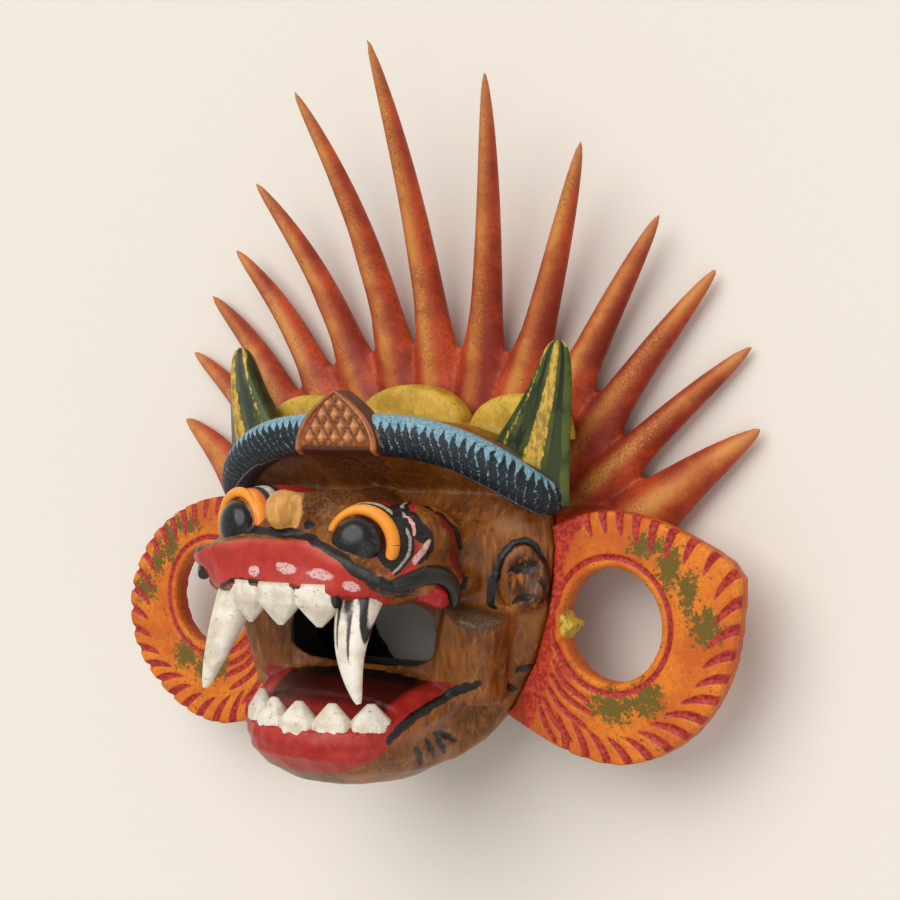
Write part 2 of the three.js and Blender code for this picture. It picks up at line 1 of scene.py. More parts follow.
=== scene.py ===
# %% [markdown]
# # A carved barong mask
# The real object is a demon mask of carved and painted wood: a hollow head with gaping jaws, set into a
# crown board of thirteen spikes and two ring-shaped ears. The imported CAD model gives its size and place,
# and this script adds the carved surface and the paint. The CAD model itself is never moved or changed.

# %% Load the frame
import math

import bmesh
import bpy
import numpy as np
from mathutils import Matrix, Vector, noise


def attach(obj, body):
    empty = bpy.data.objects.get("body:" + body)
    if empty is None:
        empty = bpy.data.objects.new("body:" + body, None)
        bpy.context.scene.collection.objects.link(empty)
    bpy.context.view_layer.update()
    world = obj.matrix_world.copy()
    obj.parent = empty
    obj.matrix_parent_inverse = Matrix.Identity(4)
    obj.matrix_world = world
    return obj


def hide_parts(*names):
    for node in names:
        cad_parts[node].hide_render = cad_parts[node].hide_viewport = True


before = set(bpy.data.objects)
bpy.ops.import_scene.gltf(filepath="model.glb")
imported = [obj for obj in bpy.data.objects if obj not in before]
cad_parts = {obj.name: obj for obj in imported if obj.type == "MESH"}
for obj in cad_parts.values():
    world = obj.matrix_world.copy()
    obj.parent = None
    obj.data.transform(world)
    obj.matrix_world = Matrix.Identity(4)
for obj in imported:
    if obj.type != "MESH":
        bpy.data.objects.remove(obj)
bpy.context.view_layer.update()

# %% [markdown]
# The carving was measured in millimetres from its own zero. The frame counts from the middle of the box, so
# one helper changes a carver's millimetres into the frame's metres, and others change a whole mesh.

# %% Millimetres to metres
MM = 0.001
ZERO = Vector((-2.351, -173.910, 0.0))


def at(x, y, z):
    return (Vector((x, y, z)) + ZERO) * MM


def millimetres(piece):
    flat = np.empty(3 * len(piece.data.vertices), dtype=np.float32)
    piece.data.vertices.foreach_get("co", flat)
    return flat.reshape(-1, 3) / MM - np.array(ZERO)


def put_back(piece, points):
    flat = ((points + np.array(ZERO)) * MM).astype(np.float32).ravel()
    piece.data.vertices.foreach_set("co", flat)
    piece.data.update()


# %% [markdown]
# The photographer stood in front and a little to the mask's side, with a long lens. The mask lies on its
# back here, so the camera looks down on it. Its place and turn were worked out from the teeth, the ear
# holes and the spike tips.

# %% Camera
TURN = math.radians(36.293)
RISE = math.radians(1.093)
eye_point = at(635.265, 171.569, 863.222)
to_right = Vector((math.cos(TURN), 0, -math.sin(TURN)))
to_back = Vector((math.sin(TURN) * math.cos(RISE), math.sin(RISE), math.cos(TURN) * math.cos(RISE)))
to_top = to_back.cross(to_right)

bpy.ops.object.camera_add(location=eye_point)
camera = bpy.context.object
camera.name = "photo_camera"
turned = Matrix((to_right, to_top, to_back)).transposed().to_4x4()
camera.matrix_world = Matrix.Translation(eye_point) @ turned
camera.data.lens = 80
camera.data.sensor_width = 36
camera.data.clip_start = 0.05
camera.data.clip_end = 20
bpy.context.scene.camera = camera
print("camera", [round(v, 4) for v in camera.location], "lens", camera.data.lens)

# %% [markdown]
# The studio is a large pale floor under one broad soft light from the crown's side, a weaker one from below
# and a pale sky that fills the shadows. The plain view transform keeps the paint's strong colours as mixed.

# %% Floor and lights
bpy.context.scene.view_settings.view_transform = "Standard"
FLOOR_SIDE = 9.0
FLOOR_LEVEL = -0.0004
bpy.ops.mesh.primitive_plane_add(size=FLOOR_SIDE, location=(0, 0, FLOOR_LEVEL))
floor = bpy.context.object
floor.name = "studio_floor"
bpy.ops.object.transform_apply(location=True, rotation=False, scale=True)

floor_paint = bpy.data.materials.new("pale_floor")
floor_paint.use_nodes = True
floor_shader = floor_paint.node_tree.nodes["Principled BSDF"]
floor_shader.inputs["Base Color"].default_value = (0.80, 0.755, 0.687, 1)
floor_shader.inputs["Roughness"].default_value = 0.95
floor_shader.inputs["Specular IOR Level"].default_value = 0.0
floor.data.materials.append(floor_paint)


def broad_light(name, towards, strength, spread, colour):
    bpy.ops.object.light_add(type="SUN", location=Vector(towards) * 2)
    lamp = bpy.context.object
    lamp.name = name
    lamp.data.energy = strength
    lamp.data.angle = math.radians(spread)
    lamp.data.color = colour
    lamp.rotation_euler = Vector(towards).to_track_quat("Z", "Y").to_euler()
    return lamp


broad_light("key_light", (-0.10, 0.62, 1.0), 2.05, 58, (1.0, 0.98, 0.95))
broad_light("low_light", (0.75, -0.45, 0.9), 0.42, 60, (1.0, 0.98, 0.96))

sky = bpy.data.worlds.new("studio_sky")
bpy.context.scene.world = sky
sky.use_nodes = True
sky.node_tree.nodes["Background"].inputs["Color"].default_value = (1.0, 0.98, 0.95, 1)
sky.node_tree.nodes["Background"].inputs["Strength"].default_value = 0.47

# %% [markdown]
# Every piece is made with the same few hand moves: start from nothing selected, shape a primitive in edit
# mode, and apply each modifier before the next.

# %% Hand moves
def nothing_selected():
    if bpy.context.object and bpy.context.object.mode != "OBJECT":
        bpy.ops.object.mode_set(mode="OBJECT")
    bpy.ops.object.select_all(action="DESELECT")


def only(piece):
    nothing_selected()
    piece.select_set(True)
    bpy.context.view_layer.objects.active = piece


def apply(piece, kind, **settings):
    only(piece)
    modifier = piece.modifiers.new(kind.title(), kind)
    for name, value in settings.items():
        setattr(modifier, name, value)
    bpy.ops.object.modifier_apply(modifier=modifier.name)


def fused(piece, grain, rounds):
    """Melts overlapping bodies into one skin with square faces of one size, then rubs it smooth."""
    apply(piece, "REMESH", mode="VOXEL", voxel_size=grain * MM)
    apply(piece, "SMOOTH", factor=0.5, iterations=rounds)


def face_outwards(piece):
    only(piece)
    bpy.ops.object.mode_set(mode="EDIT")
    bpy.ops.mesh.select_all(action="SELECT")
    bpy.ops.mesh.normals_make_consistent(inside=False)
    bpy.ops.object.mode_set(mode="OBJECT")


def joined(pieces, name):
    only(pieces[0])
    for piece in pieces:
        piece.select_set(True)
    bpy.ops.object.join()
    whole = bpy.context.object
    whole.name = whole.data.name = name
    return whole


def finished(piece, material, smooth, node="head"):
    """Sets the piece's finish, hides the CAD node that it stands for and hangs it on the body that carries
    it.
    """
    only(piece)
    piece.data.materials.clear()
    piece.data.materials.append(material)
    bpy.ops.object.shade_smooth_by_angle(angle=math.radians(smooth))
    piece.data.name = piece.name
    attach(piece, "root")
    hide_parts(node)
    print(f"{piece.name}: {sum(len(p.vertices) - 2 for p in piece.data.polygons)} triangles")


# %% [markdown]
# A horn, a spike and a roll are all one move: a small ring is extruded again and again along a path, and
# each new ring is set to its own place, turn and size.

# %% Sweep along a path
def ring_place(centre, across, ahead, half_width, half_depth):
    side = (across - ahead * across.dot(ahead)).normalized()
    front = side.cross(ahead)
    axes = Matrix((side * half_width * MM, front * half_depth * MM, ahead * MM)).transposed().to_4x4()
    return Matrix.Translation(at(*centre)) @ axes


def ring_shape(sides, power):
    """Points of a ring that is round at power 2, a rounded diamond below it and a rounded square above it."""
    points = []
    for i in range(sides):
        turn = math.tau * i / sides
        u, v = math.cos(turn), math.sin(turn)
        points.append((math.copysign(abs(u) ** (2 / power), u), math.copysign(abs(v) ** (2 / power), v)))
    return points


def swept(name, rings, shape):
    nothing_selected()
    bpy.ops.mesh.primitive_circle_add(vertices=len(shape), radius=1, fill_type="NGON")
    piece = bpy.context.object
    piece.name = name
    here = ring_place(*rings[0])
    for vertex, (u, v) in zip(piece.data.vertices, shape):
        vertex.co = here @ Vector((u, v, 0))
    bpy.ops.object.mode_set(mode="EDIT")
    for ring in rings[1:]:
        bpy.ops.mesh.extrude_region_move(TRANSFORM_OT_translate={"value": (0, 0, 0)})
        there = ring_place(*ring)
        mesh = bmesh.from_edit_mesh(piece.data)
        moved = [vertex for vertex in mesh.verts if vertex.select]
        bmesh.ops.transform(mesh, matrix=there @ here.inverted(), verts=moved)
        bmesh.update_edit_mesh(piece.data)
        here = there
    bpy.ops.object.mode_set(mode="OBJECT")
    face_outwards(piece)
    return piece


def path_rings(points, across, halves):
    """Rings at each point of a path, square to it."""
    rings = []
    last = len(points) - 1
    for i, point in enumerate(points):
        ahead = (points[min(i + 1, last)] - points[max(i - 1, 0)]).normalized()
        rings.append((point, across, ahead, *halves(i / last)))
    return rings


# %% [markdown]
# A CAD node's mesh is loose triangles, so a copy of it is merged before anything else is done to it. The
# copy gives the true form, and the node itself stays as it is.

# %% Copy of a CAD node
def node_copy(node, name):
    nothing_selected()
    original = bpy.data.objects[node]
    copy = original.copy()
    copy.data = original.data.copy()
    bpy.context.scene.collection.objects.link(copy)
    copy.name = copy.data.name = name
    copy.hide_render = False
    copy.hide_viewport = False
    only(copy)
    bpy.ops.object.mode_set(mode="EDIT")
    bpy.ops.mesh.select_all(action="SELECT")
    bpy.ops.mesh.remove_doubles(threshold=0.00001)
    bpy.ops.object.mode_set(mode="OBJECT")
    return copy


# %% [markdown]
# Gouge cuts and painted lines both follow lines over the carving. For each point of a mesh, one helper
# finds how far a line is and where along it the nearest place is. The result moves the surface, or is kept
# as a number on the mesh that the paint reads.

# %% Lines over the carving
def to_line(points, line):
    """For each point: its distance to the line, how far along that is, and the nearest place itself."""
    nearest = np.full(len(points), 1e9)
    along = np.zeros(len(points))
    foot = np.zeros((len(points), 3))
    line = [np.array(p, dtype=float) for p in line]
    lengths = [np.linalg.norm(b - a) for a, b in zip(line, line[1:])]
    done = 0.0
    for a, b, length in zip(line, line[1:], lengths):
        if length == 0:  # two places of the line fell on one point of the skin
            continue
        step = b - a
        share = np.clip(((points - a) @ step) / (length * length), 0, 1)
        gap = np.linalg.norm(points - a - share[:, None] * step, axis=1)
        closer = gap < nearest
        nearest[closer] = gap[closer]
        along[closer] = (done + share[closer] * length) / sum(lengths)
        foot[closer] = a + share[closer, None] * step
        done += length
    return nearest, along, foot


def curved(line, steps=4):
    """A smooth line through a few points."""
    points = [np.array(p, dtype=float) for p in line]
    points = [2 * points[0] - points[1], *points, 2 * points[-1] - points[-2]]
    out = []
    for a, b, c, d in zip(points, points[1:], points[2:], points[3:]):
        for i in range(steps):
            t = i / steps
            out.append(0.5 * (2 * b + (c - a) * t + (2 * a - 5 * b + 4 * c - d) * t * t
                              + (3 * b - a - 3 * c + d) * t ** 3))
    return [*out, points[-2]]


def stroke(points, line, half_width, taper=0.6):
    """Millimetres inside a brush stroke that thins towards both ends; negative outside it."""
    gap, along, _ = to_line(points, line)
    return half_width * (1 - taper + taper * np.sqrt(np.clip(4 * along * (1 - along), 0, 1))) - gap


def normals(piece):
    flat = np.empty(3 * len(piece.data.vertices), dtype=np.float32)
    piece.data.vertex_normals.foreach_get("vector", flat)
    return flat.reshape(-1, 3)


FAR = -6.0


def keep_numbers(piece, **fields):
    for name, values in fields.items():
        kept = piece.data.attributes.new(name, "FLOAT", "POINT")
        kept.data.foreach_set("value", np.asarray(values, dtype=np.float32))


def keep_fields(piece, **fields):
    """Keeps painted areas, clipped 6 mm beyond their edges, where the paint no longer needs the distance."""
    keep_numbers(piece, **{name: np.clip(values, FAR, -FAR) for name, values in fields.items()})


def mirrored(points):
    """The same points on the right side, so that one line serves both sides."""
    return np.column_stack((np.abs(points[:, 0]), points[:, 1], points[:, 2]))


# %% [markdown]
# Each paint is a tree of procedural nodes that reads the object's own coordinates and the numbers kept on
# the mesh. This small kit adds a node and hands back its output, so that a paint reads from top to bottom.

# %% Paint kit
DULL_SHINE = 0.3


class Paint:
    def __init__(self, name):
        self.material = bpy.data.materials.new(name)
        self.material.use_nodes = True
        self.tree = self.material.node_tree
        self.tree.nodes.clear()
        end = self.node("ShaderNodeOutputMaterial")
        self.shader = self.node("ShaderNodeBsdfPrincipled")
        self.tree.links.new(self.shader.outputs["BSDF"], end.inputs["Surface"])
        self.place = self.node("ShaderNodeTexCoord").outputs["Object"]

    def node(self, kind, *inputs, **settings):
        """Adds a node with its settings; each input is a socket and its value or its source."""
        made = self.tree.nodes.new(kind)
        for name, value in settings.items():
            setattr(made, name, value)
        for socket, value in inputs:
            self.feed(made.inputs[socket], value)
        return made

    def feed(self, socket, value):
        if isinstance(value, bpy.types.NodeSocket):
            self.tree.links.new(value, socket)
        elif isinstance(value, tuple) and len(value) == 3 and socket.type == "RGBA":
            socket.default_value = (*value, 1)
        else:
            socket.default_value = value

    def field(self, name):
        return self.node("ShaderNodeAttribute", attribute_name=name).outputs["Fac"]

    def noise(self, size, detail=3.0, rough=0.55, stretch=(1, 1, 1), twist=0.0):
        """Cloudy noise whose patches are about size millimetres across."""
        mapping = self.node("ShaderNodeMapping", ("Vector", self.place), ("Scale", Vector(stretch)))
        made = self.node("ShaderNodeTexNoise", ("Vector", mapping.outputs["Vector"]), ("Detail", detail),
                         ("Scale", 1 / (size * MM)), ("Roughness", rough), ("Distortion", twist))
        return made.outputs["Fac"]

    def math(self, operation, a, b=0.0):
        return self.node("ShaderNodeMath", (0, a), (1, b), operation=operation).outputs[0]

    def band(self, value, low, high):
        """Goes smoothly from 0 at low to 1 at high; low may be the larger."""
        made = self.node("ShaderNodeMapRange", ("Value", value), ("From Min", low), ("From Max", high),
                         interpolation_type="SMOOTHSTEP")
        return made.outputs["Result"]

    def times(self, a, b):
        return self.math("MULTIPLY", a, b)

    def plus(self, a, b):
        return self.math("ADD", a, b)

    def mix(self, share, a, b):
        return self.node("ShaderNodeMix", (0, share), (6, a), (7, b), data_type="RGBA").outputs[2]

    def blend(self, value, low, high, a, b, strength=1):
        """Colour a where the value is at low, and colour b, weakened by strength, where it is at high."""
        return self.mix(self.times(self.band(value, low, high), strength), a, b)

    def coat(self, under, *fields):
        """Brushes fields over a colour in turn. A row is name, colour, and the edge's wobble and softness."""
        for name, over, *edge in fields:
            under = self.mix(self.painted(name, *edge), under, over)
        return under

    def painted(self, field, wobble=0.5, soft=0.35):
        """1 inside a painted field and 0 outside it, with the slight wobble of a brush."""
        shaken = self.plus(self.field(field), self.times(self.noise(3.0), wobble))
        return self.band(shaken, 0.5 * wobble - soft, 0.5 * wobble + soft)

    def finish(self, colour, roughness, height, strength, depth, coat=0.0, coat_roughness=0.2):
        """Connects the shader; height is a bump whose full range is depth millimetres."""
        bump = self.node("ShaderNodeBump", ("Strength", strength), ("Distance", depth * MM),
                         ("Height", height))
        settings = {"Base Color": colour, "Roughness": roughness, "Coat Weight": coat,
                    "Coat Roughness": coat_roughness, "Specular IOR Level": DULL_SHINE,
                    "Normal": bump.outputs["Normal"]}
        for name, value in settings.items():
            self.feed(self.shader.inputs[name], value)
        return self.material


# %% [markdown]
# ## The crown board
# The board, its spikes and its ears are carved as one, so they are one fused skin here. Thirteen finer
# spikes, each a rounded diamond in section that curves forward, are swept over the faceted ones of the CAD
# copy. Then all is melted together, which leaves the soft valleys between the spikes.

# %% Spikes
# One row for each spike: root x, root y, tip x, tip y, tip z, and how much wider than the others its root is.
SPIKES = [
    (-128, 114, -187, 168, 6, 12), (-108, 142, -182, 207, 4, 0), (-96, 163, -165.5, 239, 6, 0),
    (-75, 178, -139, 264, 15, 0), (-50, 187, -106, 298, 35, 0), (-24, 191, -62, 342, 54, 0),
    (2, 192, 0, 360.5, 69, 0), (30, 191, 62, 340, 54, 0), (57, 187, 106.5, 304, 35, 0),
    (82, 178, 139, 268, 15, 0), (98, 160, 166, 241, 6, 0), (106, 138, 184, 203, 4, 0),
    (124, 117, 190, 163.5, 6, 13),
]
SPIKE_ROOT_Z = 10
SPIKE_RINGS = 26
SPIKE_WIDTH = 20
SPIKE_STEM = 26
SPIKE_SHAPE = ring_shape(16, 1.65)


def spike_path(root_x, root_y, tip_x, tip_y, tip_z, wider):
    across = Vector((root_y - tip_y, tip_x - root_x, 0)).normalized()
    bow = 0 if abs(tip_x) < 30 else (1 if tip_x > 0 else -5)
    points = []
    for i in range(SPIKE_RINGS + 1):
        share = math.sin(math.pi / 2 * i / SPIKE_RINGS) ** 1.2
        bend = 0.5 * share + 0.5 * share * share
        point = Vector((root_x, root_y, SPIKE_ROOT_Z)).lerp(Vector((tip_x, tip_y, 0)), share)
        point.z = SPIKE_ROOT_Z + (tip_z - SPIKE_ROOT_Z) * bend
        points.append((point + across * bow * math.sin(math.pi * share), share))
    stem = points[0][0] + Vector((-across.y, across.x, 0)) * (SPIKE_STEM - wider)
    return stem, points, across


def spike_halves(share, wider):
    """Half width and half depth: a flare at the root, then a slow taper to a blunt tip."""
    body = SPIKE_WIDTH * max(0.07, (1 - share) ** 0.48)
    flare = 13 * math.exp(-share / 0.09)
    return (body + flare + wider * (1 - share)) / 2, min(SPIKE_WIDTH, body + 0.3 * flare) / 2


def spike(number, row):
    stem, points, across = spike_path(*row)
    places = [(stem, 0.0)] + points
    rings = []
    for i, (point, share) in enumerate(places):
        ahead = (places[min(i + 1, len(places) - 1)][0] - places[max(i - 1, 0)][0]).normalized()
        rings.append((point, across, ahead, *spike_halves(share, row[5] if i else 0)))
    return swept(f"spike_{number}", rings, SPIKE_SHAPE)


spikes = [spike(number, row) for number, row in enumerate(SPIKES)]
crown = joined([node_copy("crown_board", "carved_crown"), *spikes], "carved_crown")
fused(crown, 1.3, 4)

# %% [markdown]
# The gouge left its marks on the ears: a row of comma-shaped cuts along each ear's edge, a round groove
# about the hole, and a fan of long flutes beside the cheek. Each mark lowers the surface and is kept as a
# field, because the painter picked the cuts out in dark red.

# %% Marks of the gouge on the ears
EAR_HOLE = (130, 69)
GROOVE_RADIUS = 33
BEAD_RADIUS = 29.6
CUTS = 22
FIRST_CUT = 106
CUTS_SPAN = 218
FLUTES = [
    ((98, 58), (104, 46), (116, 38)), ((97, 50), (104, 39), (118, 31)), ((95, 44), (104, 33), (120, 25)),
    ((93, 38), (102, 27), (117, 18)), ((91, 32), (98, 20), (108, 11)), ((89, 27), (93, 17), (99, 9)),
]

# Where the orange has worn through to olive: x, y and half sizes of each patch.
WORN = [(131, 30, 19, 13), (150, 35, 14, 12), (182, 71, 14, 13), (162, 98, 10, 18), (150, 108, 16, 8),
        (172, 88, 9, 14)]

points = millimetres(crown)
right = mirrored(points)
facing = normals(crown)
from_x, from_y = right[:, 0] - EAR_HOLE[0], right[:, 1] - EAR_HOLE[1]
radius = np.hypot(from_x, from_y)
turn = np.degrees(np.arctan2(from_y, from_x))
flat = right * (1, 1, 0)
on_ear = (right[:, 2] > 33) & (right[:, 1] < 128) & (right[:, 0] > 80)
front = np.clip((right[:, 2] - 41) / 3, 0, 1) * on_ear

commas = np.full(len(points), FAR)
for side in (1, -1):
    here = on_ear & (np.sign(points[:, 0]) == side)
    for i in range(CUTS):
        angle = FIRST_CUT - CUTS_SPAN * i / (CUTS - 1)
        sweep = min(1, 1.6 * i / (CUTS - 1))
        rim = radius[here & (np.abs(turn - angle) < 4)].max() + 1
        ahead = math.radians(angle)
        foot = np.array((EAR_HOLE[0] + rim * math.cos(ahead), EAR_HOLE[1] + rim * math.sin(ahead), 0))
        line = []
        for share in np.linspace(0, 1, 6):
            lean = math.radians(angle + (6 + 30 * sweep) * share ** 0.5)
            length = (14 + 7 * sweep + 2 * math.sin(5.1 * i)) * share
            line.append(foot - length * np.array((math.cos(lean), math.sin(lean), 0)))
        gap, along, _ = to_line(flat[here], line)
        commas[here] = np.maximum(commas[here], 3.3 * (1 - along) ** 0.6 * (0.8 + 0.2 * along) - gap)

groove = np.where(on_ear, 1.5 - np.abs(radius - GROOVE_RADIUS), FAR)
fan = np.maximum.reduce([stroke(flat, curved([(*p, 0) for p in line]), 1.7) for line in FLUTES])
fan = np.where(on_ear & (radius > GROOVE_RADIUS + 2), fan, FAR)

drop = 1.9 * np.clip(commas / 2.6, 0, 1) + 1.2 * np.clip(groove / 1.5, 0, 1) ** 0.7
drop += 1.3 * np.clip(fan / 1.7, 0, 1)
bead = 0.7 * np.clip(1 - np.abs(radius - BEAD_RADIUS) / 1.8, 0, 1) * on_ear
points[:, 2] += (bead - drop) * front
put_back(crown, points)
print("ear marks: deepest", round(float((drop * front).max()), 2), "mm")

# %% [markdown]
# On the spikes a nearly dry brush of gold was dragged along the front ridge, and the flanks stayed
# rust-red. A field says how near the ridge each point is, and another how far it is towards the tip.

# %% Fields for the crown's paint
ridge = np.zeros(len(points))
tipward = np.zeros(len(points))
nearest = np.full(len(points), np.inf)
flat = points * (1, 1, 0)
for row in SPIKES:
    stem, path, _ = spike_path(*row)
    line = [np.array(stem)] + [np.array(point) for point, _ in path]
    gap, along, _ = to_line(points, line)
    closer = gap < nearest
    nearest[closer] = gap[closer]
    side_gap = to_line(flat, [p * (1, 1, 0) for p in line])[0]
    half = 2.6 + (6.4 + 0.35 * row[5]) * (1 - along) ** 0.5
    ridge[closer] = (1 - side_gap / half)[closer]
    tipward[closer] = along[closer]
ridge = np.where((facing[:, 2] > -0.1) & ~on_ear, ridge, -1.0)
edge_x = np.interp(right[:, 1], (5, 20, 34, 69, 100, 112, 120), (76, 86, 93, 100, 104, 110, 118))
worn = np.maximum.reduce([1 - np.hypot((right[:, 0] - worn_x) / wide, (right[:, 1] - worn_y) / tall)
                          for worn_x, worn_y, wide, tall in WORN])
keep_fields(
    crown, ridge=ridge, tipward=np.where(on_ear, -1, tipward), commas=commas * (right[:, 2] > 41),
    groove=np.maximum(groove, fan * 0.8), ear=np.where(on_ear, 1, -1),
    cheek_band=np.where(on_ear, edge_x - right[:, 0], FAR),
    ear_tooth=np.where(on_ear & (radius < 31) & (right[:, 0] < 112), 27.5 - radius, FAR),
    worn=np.where(on_ear, np.maximum(worn, 0), 0))
print("gold ridge on", int((ridge > 0.4).sum()), "points")

# %% [markdown]
# The crown's paint is rust-red all over, brighter orange on the ears, gold on the ridges with a broken
# edge, dark red in the cuts, and olive where the paint has tarnished and flaked. Fine noise lifts it a
# little.

# %% Crown paint
paint = Paint("crown_paint")
clouds = paint.noise(26, 3)
streaks = paint.noise(2.2, 4, 0.65)
grit = paint.noise(1.0, 3, 0.7)
flakes = paint.noise(3.4, 5, 0.72)
rust = paint.blend(clouds, 0.35, 0.65, (0.27, 0.028, 0.012), (0.54, 0.075, 0.018))
rust = paint.blend(streaks, 0.5, 0.62, rust, (0.17, 0.025, 0.014), 0.5)
drag = paint.times(paint.math("SUBTRACT", streaks, 0.5), 0.9)
ridge_share = paint.plus(paint.field("ridge"), drag)
gold = paint.blend(clouds, 0.38, 0.62, (0.50, 0.14, 0.032), (0.64, 0.28, 0.062))
flecked = paint.times(paint.band(paint.noise(40, 2), 0.46, 0.6), 0.75)
gold = paint.blend(grit, 0.52, 0.62, gold, (0.20, 0.055, 0.012), flecked)
gold = paint.blend(grit, 0.42, 0.34, gold, (0.84, 0.52, 0.17), flecked)
colour = paint.blend(ridge_share, 0.15, 0.95, rust, gold, 0.85)
colour = paint.blend(paint.field("tipward"), 0.8, 1.0, colour, (0.52, 0.20, 0.07), 0.6)
tarnish = paint.times(paint.band(flakes, 0.6, 0.66), paint.band(paint.noise(30, 2), 0.5, 0.62))
colour = paint.blend(ridge_share, 0.2, 0.6, colour, (0.16, 0.13, 0.025), tarnish)

orange = paint.blend(clouds, 0.35, 0.65, (0.58, 0.11, 0.010), (0.76, 0.21, 0.014))
orange = paint.blend(streaks, 0.5, 0.6, orange, (0.42, 0.12, 0.018), 0.55)
chips = paint.plus(flakes, paint.times(paint.noise(1.5, 4, 0.75), 0.7))
worn_flakes = paint.plus(chips, paint.times(paint.field("worn"), 0.40))
orange = paint.blend(worn_flakes, 0.98, 1.01, orange, (0.15, 0.095, 0.012))
orange = paint.blend(grit, 0.64, 0.67, orange, (0.20, 0.07, 0.010))
orange = paint.blend(grit, 0.31, 0.29, orange, (0.72, 0.45, 0.16))
ear_red = paint.blend(streaks, 0.4, 0.6, (0.26, 0.014, 0.012), (0.50, 0.045, 0.028))
cheek_red = paint.blend(streaks, 0.4, 0.62, (0.34, 0.022, 0.014), (0.60, 0.065, 0.024))
tooth_gold = paint.blend(flakes, 0.5, 0.6, (0.62, 0.40, 0.05), (0.25, 0.17, 0.02))
orange = paint.coat(orange, ("commas", ear_red, 0.6), ("groove", ear_red, 0.5),
                    ("cheek_band", cheek_red, 5.0, 1.6), ("ear_tooth", tooth_gold, 0.3))
colour = paint.blend(paint.field("ear"), -0.1, 0.1, colour, orange)

relief = paint.plus(streaks, paint.times(flakes, 0.8))
roughness = paint.plus(paint.times(paint.band(streaks, 0.2, 0.9), 0.25), 0.36)
crown_paint = paint.finish(colour, roughness, relief, 0.5, 0.5)
finished(crown, crown_paint, 50, "crown_board")

# %% [markdown]
# ## The carved head
# The head is one block: skull, brim, snout, jaw and cheeks. A copy of the CAD head is melted into a fine
# skin and rubbed smooth. The cuts that the carver made next (the wrinkle behind each eye, the folds of the
# side ears, the whiskers) follow lines.

# %% Head skin
head = node_copy("head", "carved_head")
fused(head, 1.5, 5)
points = millimetres(head)
right = mirrored(points)
facing = normals(head)
print("head skin:", len(points), "points")

# Lines on the right half; the left half is cut along the same lines.
WRINKLE = [(50, 127, 92), (57, 124, 88), (62, 118, 83), (65, 109, 77), (67, 101, 76), (70, 92, 80),
           (73, 86, 88)]
WRINKLE_RED = [(58, 119, 92), (63, 113, 88), (66, 106, 84), (68, 98, 83), (71, 90, 88)]
EAR_EDGE = [(75, 75, 63), (75.5, 82, 65), (76, 90, 64.5), (77.5, 99, 63), (80.5, 105.6, 60),
            (85.7, 108.5, 55.5), (91.5, 106, 52), (95.8, 99, 50)]
EAR_FOLDS = [[(83, 93, 63), (86, 95, 58), (90, 96, 55), (95, 96, 52)],
             [(84, 78, 61), (87, 81, 58), (93, 82, 54)], [(94, 90, 52), (96, 86, 49)]]
JAW_TAIL = [(46, 12, 109), (46.7, 15, 109), (49, 19.6, 104), (52.4, 26.4, 94), (56, 31, 83), (61.4, 35.5, 78),
            (69.6, 38.5, 76.5), (73, 39.4, 74)]
WHISKERS = [[(49, 9, 94), (47.5, 4, 88), (43, -2, 81)], [(50, 12, 86), (48.5, 7, 81), (46, 1, 74)],
            [(50, 12, 79), (48.5, 8, 73), (46, 2, 64)], [(50.5, 14.5, 81), (49.5, 12, 69), (45, 5, 52)]]
LEAVES = [[(78, 43, 50), (82, 45, 47.5), (85, 46, 45)], [(75, 36.5, 53), (75, 34.5, 48.5), (77, 33, 46)]]
JAW_HOLLOW = [(74, 47, 66), (76, 41, 62), (77, 35, 60)]


def on_skin(line, skin):
    """The smooth line through a few points, laid down on the nearest points of the skin."""
    return [skin[np.argmin(((skin - place) ** 2).sum(axis=1))] for place in curved(line)]


def brushed(skin, line, half_width, taper=0.6):
    return stroke(skin, on_skin(line, skin), half_width, taper)


def cut(line, half_width, depth):
    gap, along, _ = to_line(right, on_skin(line, right))
    fade = np.sqrt(np.clip(4 * along * (1 - along), 0, 1)) * 0.7 + 0.3
    bowl = np.clip(1 - (gap / (half_width * fade)) ** 2, 0, 1)
    return depth * bowl * fade


# Each cut: its line, half width and depth; the last one is raised.
HEAD_CUTS = [(line, 2.4, 1.6) for line in EAR_FOLDS] + [(line, 2.6, 1.2) for line in WHISKERS + LEAVES]
HEAD_CUTS += [(WRINKLE, 4.0, 2.6), (EAR_EDGE, 3.0, 1.8), (JAW_HOLLOW, 4.0, 2.4), (JAW_TAIL, 2.6, -1.0)]
shift = -sum(cut(*row) for row in HEAD_CUTS)

# %% [markdown]
# The knife leaves long shallow facets: a slow ripple over the bare wood, a third of a millimetre deep and
# stretched along the grain, from chin to crown. The blocks under the finer teeth are drawn in by a
# millimetre, so they stay hidden inside them.

# %% Tool marks and place of each surface
x, y, z = points.T
under_teeth = (z > 118) & (np.abs(x) < 62) & (y < 84) & (y > 34)
over_lip = (z > 100) & (np.abs(x) < 44) & (y > 18) & (y < 34) & (facing[:, 1] < 0.9)
ripple = np.array([noise.noise(Vector((p[0] * 0.16, p[1] * 0.05, p[2] * 0.12))) for p in points])
inward = np.array((0, 72, 40)) - points
inside = np.einsum("ij,ij->i", inward, facing) / np.linalg.norm(inward, axis=1)
hidden = (inside > 0.15) & (np.abs(x) < 86) & (y > 18) & (y < 128) & (z < 92)
shift += np.where(hidden, 0, 0.35 * ripple)
shift = np.where(under_teeth | over_lip, -1.2, shift)
points += facing * shift[:, None]
put_back(head, points)
right = mirrored(points)
print("cuts from", round(float(shift.min()), 2), "to", round(float(shift.max()), 2), "mm")
